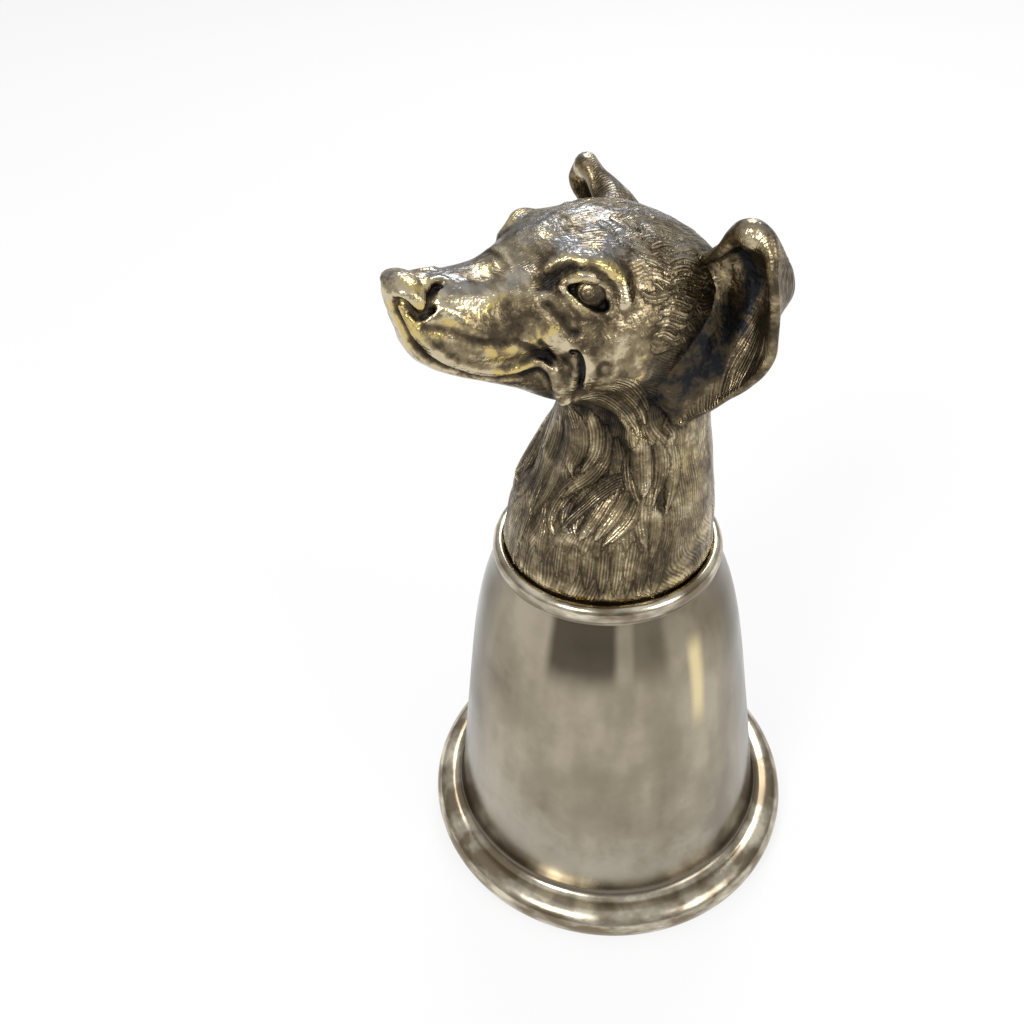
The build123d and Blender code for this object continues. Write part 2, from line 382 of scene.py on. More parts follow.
# Each mark is its radius in mm (or a run of radii), its rise or sink in mm, and its line in the photograph's pixels.
faceMarks = dict(
    browRidge=((0.9, 1.8, 1.9, 1.5, 1.0), 1.0, [(548, 271), (560, 263), (577, 260), (596, 264), (611, 272), (621, 284), (624, 300)]),
    browHollow=((1.2, 2.0, 1.6, 0.8), -0.6, [(545, 284), (552, 279), (561, 273), (570, 269)]),
    lidGroove=((0.3, 0.7, 0.7, 0.4), -0.55, [(580, 270), (590, 270), (600, 275), (609, 284), (614, 294), (616, 304)]),
    eyeOpening=((0.3, 0.6, 1.3, 2.0, 1.7, 0.5), -1.35, [(562, 288), (571, 289), (581, 291), (592, 295), (602, 303), (609, 311)]),
    upperLid=((0.5, 0.8, 0.9, 0.8, 0.6), 0.75, [(559, 288), (566, 281), (575, 278), (588, 278), (600, 284), (609, 294), (613, 305), (610, 313)]),
    lowerLid=((0.4, 0.6, 0.6, 0.5), 0.45, [(561, 288), (571, 298), (581, 307), (591, 313), (602, 315), (610, 313)]),
    tearFoldUpper=((0.4, 0.6, 0.4), -0.22, [(556, 294), (565, 302), (573, 312), (580, 321)]),
    tearFoldLower=((0.7, 1.5, 1.6, 0.8), -0.5, [(549, 303), (556, 308), (563, 317), (569, 326), (572, 332)]),
    tearRidge=((0.6, 1.0, 0.6), 0.28, [(546, 296), (556, 301), (566, 312), (574, 324)]),
    cheekHollow=((0.35, 0.7, 0.45), -0.45, [(521, 345), (532, 349), (543, 357), (550, 363)]),
    cheekGroove=((0.3, 0.5, 0.35), -0.4, [(540, 342), (546, 350), (552, 359)]),
    slitRidge=((0.5, 0.9, 0.9, 0.5), 0.25, [(586, 355), (589, 364), (589, 376), (586, 387)]),
    cheekSlit=((0.2, 0.4, 0.6, 0.35), -0.75, [(569, 354), (574, 353), (579, 357), (581, 366), (581, 376), (580, 385)]),
    lipPadGroove=((0.4, 0.8, 0.8, 0.5), -0.35, [(424, 328), (436, 329), (450, 331), (466, 335), (483, 341), (500, 344), (516, 342)]),
    noseFold=((0.5, 1.1, 1.1, 0.5), 0.3, [(444, 309), (453, 315), (463, 323), (475, 331), (486, 336)]),
    noseLobe=((1.3, 2.2, 1.7), 0.7, [(404, 294), (412, 298), (421, 300)]),
    noseGroove=((0.4, 0.75, 0.7, 0.5), -1.1, [(393, 300), (401, 303), (408, 310), (415, 316), (423, 318), (428, 312)]),
    nostrilHook=((0.4, 0.7, 0.8, 0.8, 0.5), -1.0, [(441, 285), (436, 285), (433, 290), (432, 297), (432, 304), (429, 311)]),
    nostrilWing=((0.4, 0.6, 0.4), 0.4, [(427, 289), (431, 281), (439, 278), (449, 281)]),
    mouthLine=((0.4, 0.65, 0.65, 0.5, 0.4), -0.85, [(393, 302), (398, 317), (406, 334), (417, 349), (430, 361), (446, 369), (462, 373)]),
    lipGroove=((0.4, 0.5, 0.45, 0.25), -0.5, [(462, 374), (480, 378), (502, 379), (518, 376), (530, 372), (541, 371), (548, 378), (553, 391)]),
    lipEdge=((0.4, 0.6, 0.6, 0.6, 0.5), 0.4, [(409, 318), (417, 332), (430, 347), (445, 358), (462, 366), (481, 371), (502, 372), (518, 369), (530, 364), (542, 363), (550, 370), (556, 383), (560, 396)]),
    flewFront=((0.6, 0.9, 0.6), 0.25, [(556, 371), (560, 385), (561, 399)]),
    flewBack=((0.6, 1.0, 0.7), 0.12, [(567, 368), (567, 384), (563, 400)]),
    flewEdge=((0.5, 0.6, 0.5), 0.4, [(575, 374), (572, 388), (565, 401)]),
    jawHair=((0.7, 1.2, 1.2, 0.8), 0.6, [(564, 403), (574, 399), (585, 396), (599, 399), (610, 406), (620, 417), (629, 431), (634, 445)]),
    jawShadow=((1.0, 2.0, 2.0, 1.0), -0.8, [(580, 411), (592, 410), (603, 416), (613, 427), (621, 440), (627, 453), (630, 466)]),
    throatHollow=((1.5, 3.0, 3.0, 1.5), -0.7, [(603, 430), (612, 455), (606, 478), (590, 492), (572, 503)]),
    throatLock=((1.2, 2.4, 2.4, 1.2), 0.5, [(566, 412), (573, 432), (572, 452), (566, 468)]),
    throatWhorl=((1.5, 3.0, 3.0, 1.5), 0.6, [(626, 492), (608, 512), (590, 530), (572, 536)]),
    neckCord=((1.5, 2.6, 2.6, 1.5), 0.5, [(632, 440), (640, 462), (644, 485), (648, 510)]),
    neckHollow=((1.0, 2.0, 1.0), -0.45, [(656, 452), (660, 480), (662, 505)]),
    wartRing=(0.35, -0.18, [(612, 370), (608, 376), (601, 375), (599, 369), (603, 364), (610, 365), (612, 370)]),
)


# The hollow behind the cheek, that the ear's pocket opens from
pocketLine = dict(
    places=[(16.8, 15.4, 147.6), (19.0, 11.6, 142.6), (19.9, 8.0, 138.6), (19.6, 4.4, 134.4), (18.0, 4.4, 130.0), (16.4, 6.4, 125.0)],
    sizes=(2.6, 3.0, 3.2, 3.0, 2.6, 1.2),
)


def makeFace(clay):
    clay.ball((7.9, -9.6, 152.3), (4.6, 4.2, 3.0), 2.4)  # brow
    clay.ball((0.0, -37.7, 152.6), (3.9, 2.5, 2.6), 1.2)  # nose pad
    clay.ball((13.6, -6.0, 138.0), (3.4, 8.0, 6.0), 4.0)  # cheek
    clay.stroke(pocketLine["places"], pocketLine["sizes"], 1.2, cutting=True)
    for size, rise, path in faceMarks.values():
        trace(clay, path, size, rise)


def smoothStep(low, high, values):
    t = np.clip((values - low) / (high - low), 0, 1)
    return t * t * (3 - 2 * t)


# Hair, in locks that taper to a tip and lie over one another

class Coat:
    def __init__(self, clay, points, faces):
        self.clay = clay
        self.points = np.asarray(points, float)
        self.faces = np.asarray(faces)
        self.normals = clay.slope(self.points)
        count = len(self.points)
        self.height = np.zeros(count)
        self.hair, self.cover = restingHair(self.points)
        self.laid = 0

    def lay(self, path, width, thick, keep=0.3, combed=True):
        path = np.asarray(path, float)
        reach = width + 0.6
        near = np.nonzero(
            ((self.points > path.min(0) - reach) & (self.points < path.max(0) + reach)).all(1)
        )[0]
        if len(near) == 0:
            return
        start, run = path[:-1], path[1:] - path[:-1]
        long2 = np.maximum((run**2).sum(1), 1e-9)
        away = self.points[near][:, None] - start[None]
        share = np.clip((away * run).sum(2) / long2, 0, 1)
        away = away - share[..., None] * run
        best = np.argmin((away**2).sum(2), 1)
        rows = np.arange(len(near))
        along = (best + share[rows, best]) / len(run)
        away, tangent = away[rows, best], run[best] / np.sqrt(long2[best])[:, None]
        normal = self.normals[near]
        rise = (away * normal).sum(1)
        across = (away * np.cross(normal, tangent)).sum(1)
        spread = np.sqrt(np.maximum((away**2).sum(1) - rise**2, 0))
        limit = width * np.clip((along + 0.06) / 0.3, 0, 1) ** 0.6
        limit = limit * (1 - np.clip((along - 0.35) / 0.65, 0, 1) ** 1.7)
        inside = (spread < limit) & (np.abs(rise) < 2.5)
        near, along, across, limit = near[inside], along[inside], across[inside], limit[inside]
        if len(near) == 0:
            return
        length = np.sqrt(long2).sum()
        dome = np.maximum(1 - (across / limit) ** 2, 0) ** 0.8
        self.height[near] = keep * self.height[near] + thick * (0.45 + 0.55 * along) * dome
        self.laid += 1
        if combed:
            self.hair[near] = np.stack([across, along * length, np.full(len(near), self.laid * 0.618 % 1.0)], 1)
            self.cover[near] = 1

    def seeds(self, keep, spacing, order, dice):
        # places for locks, about evenly spaced over the part of the skin that keep picks
        free = self.points[keep(self.points)]
        free = free[dice.permutation(len(free))]
        chosen = []
        while len(free):
            chosen.append(free[0])
            free = free[((free - free[0]) ** 2).sum(1) > spacing**2]
        chosen = np.array(chosen)
        return chosen[np.argsort(order(chosen))]

    def grow(self, seeds, flow, length, wave, dice, steps=9):
        # walks from each seed over the skin, along the flow, with a slow wave from side to side
        places = [seeds]
        phase = dice.uniform(0, 2 * math.pi, len(seeds))
        pace = length * dice.uniform(0.75, 1.25, len(seeds)) / steps
        for k in range(steps):
            here = places[-1]
            normal = self.clay.slope(here)
            way = flow(here)
            way = way - (way * normal).sum(1)[:, None] * normal
            way /= np.maximum(np.linalg.norm(way, axis=1), 1e-6)[:, None]
            turn = wave * np.sin(phase + 2 * math.pi * k / steps)
            way = np.cos(turn)[:, None] * way + np.sin(turn)[:, None] * np.cross(normal, way)
            places.append(self.clay.settle(here + way * pace[:, None], 2))
        return np.stack(places, 1)

    def raised(self):
        return self.points + self.normals * self.height[:, None]


# Locks traced from the photograph: half width and thickness in mm, and the line in pixels.
neckLocks = [
    (1.6, 0.35, [(545, 520), (541, 545), (540, 565)]),
    (1.5, 0.35, [(560, 545), (558, 561), (556, 579)]),
    (1.5, 0.35, [(575, 548), (574, 566), (571, 586)]),
    (1.5, 0.35, [(590, 552), (588, 571), (585, 591)]),
    (1.5, 0.35, [(605, 553), (603, 575), (600, 597)]),
    (1.5, 0.35, [(620, 545), (617, 571), (613, 598)]),
    (1.5, 0.35, [(634, 545), (630, 571), (626, 599)]),
    (1.5, 0.4, [(647, 548), (642, 573), (638, 599)]),
    (1.5, 0.35, [(661, 553), (657, 577), (651, 598)]),
    (1.6, 0.6, [(530, 515), (524, 540), (522, 560), (520, 573)]),
    (1.6, 0.7, [(543, 475), (533, 500), (525, 525), (517, 548)]),
    (1.6, 0.7, [(656, 505), (656, 525), (654, 545), (650, 562)]),
    (1.6, 0.7, [(642, 503), (641, 521), (643, 537), (647, 551)]),
    (1.7, 0.8, [(636, 501), (628, 520), (614, 535), (601, 547)]),
    (1.7, 0.9, [(628, 492), (617, 512), (604, 529), (592, 543)]),
    (1.7, 0.9, [(620, 482), (606, 502), (594, 520), (584, 534), (579, 541)]),
    (1.7, 0.8, [(612, 476), (598, 492), (585, 508), (576, 523), (576, 537)]),
    (1.7, 0.8, [(603, 468), (588, 483), (573, 497), (565, 512), (565, 527), (572, 535)]),
    (1.8, 0.8, [(594, 471), (577, 483), (563, 496), (554, 511), (551, 526), (557, 537)]),
    (1.9, 0.8, [(605, 428), (606, 448), (599, 466), (587, 479), (573, 488), (562, 500)]),
    (1.7, 0.7, [(617, 441), (620, 459), (616, 476), (606, 490), (594, 503)]),
    (1.7, 0.7, [(560, 413), (558, 435), (551, 455), (543, 473), (534, 493), (528, 513)]),
    (1.7, 0.7, [(552, 409), (548, 424), (538, 446), (525, 470), (517, 486)]),
    (1.8, 0.9, [(590, 413), (596, 432), (595, 450), (588, 464), (579, 475)]),
    (2.3, 1.0, [(571, 410), (578, 431), (577, 450), (571, 464), (573, 476)]),
    (1.7, 0.7, [(670, 440), (673, 465), (671, 490), (665, 516)]),
    (1.7, 0.7, [(658, 442), (661, 465), (658, 486), (652, 507)]),
    (1.6, 0.7, [(630, 452), (630, 470), (633, 489), (640, 506)]),
    (2.5, 1.0, [(643, 443), (643, 463), (644, 482), (644, 500)]),
    (1.4, 0.7, [(583, 398), (600, 395), (614, 401), (627, 413), (636, 428), (641, 444)]),
    (1.4, 0.7, [(598, 388), (614, 389), (629, 398), (641, 412), (646, 430)]),
    (1.4, 0.6, [(616, 380), (631, 385), (643, 398), (650, 416)]),
    (1.1, 0.7, [(640, 236), (652, 233), (664, 236), (676, 243)]),
    (1.1, 0.8, [(652, 247), (664, 243), (677, 246), (690, 252), (700, 255)]),
    (1.1, 0.8, [(676, 251), (689, 248), (700, 253), (711, 260)]),
    (1.1, 0.8, [(672, 262), (684, 259), (697, 263), (709, 268)]),
    (1.1, 0.8, [(671, 272), (684, 269), (697, 273), (709, 277)]),
    (1.1, 0.8, [(672, 283), (685, 281), (697, 284), (707, 287)]),
    (1.1, 0.8, [(670, 293), (682, 292), (694, 296), (704, 295)]),
    (1.1, 0.8, [(665, 303), (677, 301), (689, 306), (700, 303)]),
    (1.1, 0.8, [(661, 313), (673, 311), (685, 315), (695, 313)]),
    (1.0, 0.8, [(658, 324), (670, 322), (681, 326), (690, 324)]),
    (1.0, 0.7, [(654, 336), (665, 333), (675, 338), (684, 334)]),
    (0.8, 0.7, [(598, 222), (607, 227), (617, 235)]),
    (0.8, 0.7, [(611, 217), (621, 223), (632, 232)]),
    (0.8, 0.7, [(626, 221), (636, 226), (646, 235)]),
    (0.8, 0.6, [(617, 239), (627, 243), (638, 251)]),
    (0.8, 0.6, [(633, 245), (643, 249), (654, 257)]),
    (0.8, 0.6, [(645, 259), (655, 263), (664, 270)]),
]


def hairFlow(points):
    # the way the coat lies: back over the skull, down the neck
    x, y, z = points.T
    low = np.clip((134 - z) / 14, 0, 1)
    side = np.sign(x) * np.clip(np.abs(x) / 16, 0, 1)
    skull = np.stack([0.35 * side, np.ones_like(x), -0.55 * np.abs(side)], 1)
    neck = np.stack([0.10 * np.sin(z * 0.35 + y * 0.2), 0.16 * np.cos(z * 0.3 + x * 0.2), -np.ones_like(x)], 1)
    return skull * (1 - low[:, None]) + neck * low[:, None]


def restingHair(points):
    # across and along the hair in mm, a number for its part of the coat, and how much of the skin it covers
    x, y, z = points.T
    turn = np.arctan2(x, y - 4.0)
    wave = 1.3 * np.sin(z * 0.21 + 2 * turn) + 0.7 * np.sin(z * 0.43 + 5 * turn)
    neck = np.stack([turn * 17.0 + wave, z, np.zeros_like(x)], 1)
    over = np.arctan2(x, z - 138.0)
    wave = 0.6 * np.sin(y * 0.42 + 1.5 * over) + 0.2 * np.sin(y * 0.9 + 3 * over)
    skull = np.stack([over * 15.0 - 0.45 * y * np.sin(over) + wave, y - 0.3 * z, np.full_like(x, 0.5)], 1)
    low = smoothStep(128, 122, z)[:, None]
    side = np.abs(x)
    crown = smoothStep(-3, 5, y) * smoothStep(139, 146, z + 0.3 * y)
    crown = np.maximum(crown, 0.25 * smoothStep(-26, -19, y) * smoothStep(148.5, 151.5, z + 0.2 * side))
    cheek = 0.8 * smoothStep(-5, 2, y - 0.15 * (z - 136)) * smoothStep(149, 144, z)
    neckPart = 0.8 * smoothStep(126, 121, z)
    cover = np.maximum(np.maximum(crown, cheek), neckPart) * smoothStep(86.5, 88.5, z)
    return np.where(low > 0.5, neck, skull), cover


def onNeck(points):
    return (points[:, 2] < 124) & (points[:, 2] > 90) & (points[:, 1] > -19)


def onSkull(points):
    x, y, z = np.abs(points[:, 0]), points[:, 1], points[:, 2]
    crown = (y > -4) & (z > 140)
    cheek = (y > 0.5) & (z > 121) & (z <= 146)
    return crown | cheek


def makeCoat(coat):
    dice = np.random.default_rng(7)
    seeds = coat.seeds(onNeck, 5.2, lambda p: p[:, 2] + dice.uniform(-4, 4, len(p)), dice)
    for path in coat.grow(seeds, hairFlow, 21.0, 0.4, dice, 12):
        coat.lay(path, dice.uniform(1.8, 3.4), dice.uniform(0.05, 0.13), 0.8, False)
    seeds = coat.seeds(onSkull, 1.9, lambda p: -p[:, 1] + dice.uniform(-2, 2, len(p)), dice)
    for path in coat.grow(seeds, hairFlow, 7.5, 0.55, dice, 7):
        coat.lay(path, dice.uniform(0.6, 1.1), dice.uniform(0.06, 0.14), 0.7, dice.random() < 0.3)
    for half, thick, line in neckLocks:
        path = coat.clay.seen(smoothPath(line))
        coat.lay(path * (-1, 1, 1), half, thick * 0.34)
        coat.lay(path, half, thick * 0.34)
    print("coat:", coat.laid, "locks")


def spreadOver(faces, values, turns):
    # values averaged over each point's neighbours, a few times
    edges = np.concatenate([faces[:, [i, (i + 1) % 4]] for i in range(4)])
    edges = np.concatenate([edges, edges[:, ::-1]])
    counts = np.bincount(edges[:, 0], minlength=len(values)).astype(float)
    for _ in range(turns):
        summed = np.stack(
            [np.bincount(edges[:, 0], values[edges[:, 1], i], len(values)) for i in range(values.shape[1])], 1
        )
        values = 0.5 * values + 0.5 * summed / np.maximum(counts, 1)[:, None]
    return values


def storeLooks(piece, faces, points, normals, grimeAndShade, hair, cover, least=0.0):
    # how hollow each point is, close to and further round, for the patina, and the run of the hair
    close = ((spreadOver(faces, points, 4) - points) * normals).sum(1)
    wide = ((spreadOver(faces, points, 40) - points) * normals).sum(1)
    shade = np.stack([np.clip(0.5 + close * 3, least, 1), np.clip(0.5 + wide * 0.8, least, 1), grimeAndShade, cover], 1)
    layer = piece.data.attributes.new("shade", "FLOAT_COLOR", "POINT")
    layer.data.foreach_set("color", shade.astype(np.float32).ravel())
    layer = piece.data.attributes.new("cover", "FLOAT", "POINT")
    layer.data.foreach_set("value", cover.astype(np.float32))
    layer = piece.data.attributes.new("hair", "FLOAT_VECTOR", "POINT")
    layer.data.foreach_set("vector", hair.astype(np.float32).ravel())


# Where dark patina is left in, and where shade is painted in as well, beneath the jaw, behind the cheek and down the
# neck: its radius in mm, how dark, and its line in the photograph's pixels
grimeAndShadeMarks = [
    # painted shade: the dark V beneath the jaw
    (3.6, 0.45, [(575, 414), (590, 415), (602, 422), (612, 436), (618, 450), (622, 466)]),
    # painted shade: the hollow behind the cheek's edge, where the ear's pocket opens
    (3.4, 0.8, [(724, 262), (718, 285), (706, 318), (692, 342), (674, 362), (668, 380), (669, 398), (676, 414)]),
    (0.8, 0.6, [(393, 302), (398, 317), (406, 334), (417, 349), (430, 361)]),
    (0.8, 0.35, [(430, 361), (446, 369), (462, 373)]),
    (1.0, 0.6, [(427, 312), (432, 304), (432, 294), (436, 287)]),
    (1.6, 0.45, [(549, 303), (556, 308), (563, 317), (569, 326), (572, 332)]),
    (1.0, 0.32, [(521, 345), (532, 349), (543, 357), (549, 362)]),
    (0.6, 0.4, [(540, 343), (546, 350), (552, 359)]),
    (0.7, 1.0, [(565, 358), (571, 354), (577, 356), (581, 365), (581, 376), (580, 386)]),
    (1.8, 0.4, [(545, 284), (552, 279), (561, 273)]),
    (1.3, 0.5, [(565, 289), (574, 294), (584, 301), (598, 309), (606, 309)]),
    (3.0, 0.4, [(505, 312), (515, 308), (528, 309), (534, 318), (512, 320)]),
    (2.2, 0.35, [(470, 330), (485, 333), (500, 334)]),
    (2.0, 0.4, [(590, 362), (597, 370), (594, 380)]),
    (2.5, 0.35, [(530, 380), (542, 384), (548, 396)]),
    # painted shade: a dark band low on the neck, and dark hollows down the throat
    (3.4, 0.35, [(560, 566), (590, 580), (620, 584), (645, 578), (665, 560)]),
    (4.0, 0.3, [(556, 440), (545, 470), (535, 500), (530, 540)]),
    (4.4, 0.4, [(603, 430), (612, 455), (606, 478), (588, 496), (570, 508)]),
    # worn bare instead, amounts below zero: lighter high places on the muzzle, lip and face, partly wear and partly
    # painted highlight
    (2.6, -0.45, [(446, 300), (458, 302), (472, 308), (486, 314)]),
    (2.2, -0.4, [(404, 340), (420, 356), (440, 366), (462, 368), (490, 364)]),
    (2.4, -0.2, [(628, 288), (640, 300), (640, 318), (622, 332)]),
    (2.2, -0.3, [(470, 292), (500, 290), (530, 294)]),
    (1.8, -0.2, [(545, 345), (556, 340), (564, 346)]),
    (1.6, -0.2, [(533, 330), (545, 327), (555, 334)]),
]


# lays the marks: dirt, patina and painted shade where the amount is above nought, lighter wear and painted highlight
# where it is below
def paintGrimeAndShade(clay, points):
    grimeAndShade = np.zeros(len(points))
    folded = points * np.where(points[:, :1] < 0, (-1, 1, 1), (1, 1, 1))
    for radius, amount, line in grimeAndShadeMarks:
        path = clay.seen(smoothPath(line, 6))
        path = path * np.where(path[:, :1] < 0, (-1, 1, 1), (1, 1, 1))
        near = np.nonzero(((folded > path.min(0) - 2 * radius) & (folded < path.max(0) + 2 * radius)).all(1))[0]
        gap = np.sqrt(((folded[near][:, None] - path[None]) ** 2).sum(2)).min(1)
        there = amount * (1 - smoothStep(0.2 * radius, 2.0 * radius, gap))
        grimeAndShade[near] = np.maximum(grimeAndShade[near], there) if amount > 0 else grimeAndShade[near] + there
    return grimeAndShade


def makeHead(material):
    clay = makeHeadClay()
    makeFace(clay)
    points, faces = clay.skin(True)
    coat = Coat(clay, points, faces)
    makeCoat(coat)
    points = coat.raised()
    print("head:", len(points), "points")
    piece = newPiece("houndHead", points, faces, "head_casting", material)
    storeLooks(piece, faces, points, coat.normals, paintGrimeAndShade(clay, coat.points), coat.hair, coat.cover)


# The ears: each a pocket that opens forward, from its root on the head out to a rolled rim

ear = dict(
    wall=0.85,  # half of its thickness in mm
    rowsAlong=170,
    stepsAcross=84,
    rimSteps=7,
    rootDepth=(2.4, 0.6, 0.0),  # how far its root runs into the head, in mm
    lean=dict(leftEar=(0.0, 0.0, 0.5), rightEar=(0.0, -1.8, -1.0)),  # how far the top of each is set off, in mm
    # from the front foot, over the top and down to the tip: the rim's radius, then points from the root to the rim
    rows=[
        (0.7, [(12.4, 10.6, 148.6), (12.6, 10.4, 148.8), (12.8, 10.2, 149.0), (13.0, 10.0, 149.2), (13.3, 9.8, 149.4), (13.6, 9.6, 149.6)]),
        (0.9, [(12.6, 11.0, 148.6), (13.4, 11.2, 149.7), (14.0, 11.2, 150.3), (14.6, 10.9, 150.8), (15.2, 10.3, 151.0), (15.8, 9.8, 150.9)]),
        (1.1, [(12.8, 11.2, 148.4), (14.3, 12.1, 150.4), (15.4, 12.3, 151.6), (16.3, 11.9, 152.3), (17.0, 11.1, 152.7), (17.5, 10.3, 152.7)]),
        (1.5, [(13.0, 11.3, 148.2), (14.6, 12.9, 150.4), (16.0, 13.5, 152.0), (17.3, 13.2, 153.3), (18.3, 12.2, 154.3), (19.0, 10.8, 154.7)]),
        (2.1, [(13.2, 11.4, 147.9), (14.8, 13.7, 150.2), (16.6, 14.9, 151.8), (18.5, 14.5, 153.4), (20.0, 13.0, 155.0), (20.8, 11.0, 156.0)]),
        (2.4, [(13.3, 11.5, 147.6), (15.0, 14.3, 149.6), (17.0, 15.9, 150.8), (19.8, 15.8, 152.2), (21.7, 14.2, 154.4), (22.6, 11.5, 156.2)]),
        (1.9, [(13.5, 11.5, 147.0), (15.0, 14.8, 148.6), (17.0, 16.8, 149.4), (20.8, 17.2, 150.4), (23.4, 15.6, 152.8), (24.6, 12.2, 155.6)]),
        (1.2, [(13.7, 11.4, 146.4), (15.0, 15.1, 147.4), (16.9, 17.4, 147.8), (21.2, 18.3, 148.6), (24.6, 16.8, 150.6), (26.6, 12.0, 154.2)]),
        (0.9, [(14.0, 11.2, 145.8), (15.1, 15.3, 146.1), (16.8, 18.0, 146.1), (21.3, 19.3, 146.7), (24.6, 18.0, 148.2), (27.9, 11.4, 151.8)]),
        (0.9, [(14.8, 10.4, 144.2), (15.4, 14.9, 144.0), (16.9, 18.0, 143.8), (21.2, 19.6, 144.2), (24.4, 18.2, 145.4), (28.3, 11.8, 148.6)]),
        (0.85, [(15.8, 8.6, 142.2), (16.0, 13.5, 141.6), (17.1, 17.2, 141.3), (20.3, 18.2, 141.0), (23.6, 16.6, 142.0), (27.6, 13.2, 144.4)]),
        (0.85, [(16.4, 6.2, 139.8), (16.5, 11.4, 138.8), (17.4, 15.4, 138.2), (20.0, 16.8, 137.8), (23.2, 16.0, 138.6), (26.8, 14.2, 140.2)]),
        (0.85, [(16.6, 3.4, 136.8), (16.9, 8.9, 135.6), (17.9, 13.0, 135.0), (20.2, 15.1, 134.7), (23.2, 15.4, 135.2), (26.4, 14.6, 136.6)]),
        (0.85, [(16.4, 1.2, 133.6), (17.0, 6.2, 132.3), (18.0, 10.3, 131.6), (20.0, 12.8, 131.3), (22.6, 14.0, 131.8), (25.4, 14.0, 133.3)]),
        (0.85, [(15.6, 0.8, 130.4), (16.5, 4.8, 129.2), (17.5, 8.0, 128.6), (19.3, 10.4, 128.3), (21.4, 11.8, 128.8), (23.8, 12.6, 130.3)]),
        (0.85, [(14.7, 1.6, 127.4), (15.6, 4.2, 126.6), (16.6, 6.6, 126.0), (18.1, 8.6, 125.8), (19.7, 9.8, 126.2), (21.6, 10.7, 127.4)]),
        (0.8, [(14.0, 2.6, 124.4), (14.8, 4.3, 123.9), (15.7, 5.8, 123.6), (16.8, 7.0, 123.5), (18.0, 8.0, 123.8), (19.4, 8.9, 124.5)]),
        (0.6, [(13.8, 4.0, 121.6), (14.4, 4.8, 121.5), (15.0, 5.5, 121.5), (15.7, 6.0, 121.6), (16.4, 6.4, 121.8), (17.2, 6.8, 122.2)]),
        (0.35, [(13.9, 4.9, 119.9), (14.2, 5.0, 119.9), (14.5, 5.1, 119.9), (14.8, 5.1, 120.0), (15.1, 5.1, 120.1), (15.4, 5.1, 120.2)]),
    ],
)


def smoothGrid(table, rows, columns):
    # a finer grid through the points of a coarse one
    table = np.array(table, float)
    for axis, count in ((0, rows), (1, columns)):
        table = np.moveaxis(table, axis, 0)
        size = len(table)
        flat = table.reshape(size, -1)
        at = np.linspace(0, size - 1, count)
        flat = np.stack([smoothRun(at, np.arange(size), flat[:, i]) for i in range(flat.shape[1])], 1)
        table = np.moveaxis(flat.reshape(count, *table.shape[1:]), 0, axis)
    return table


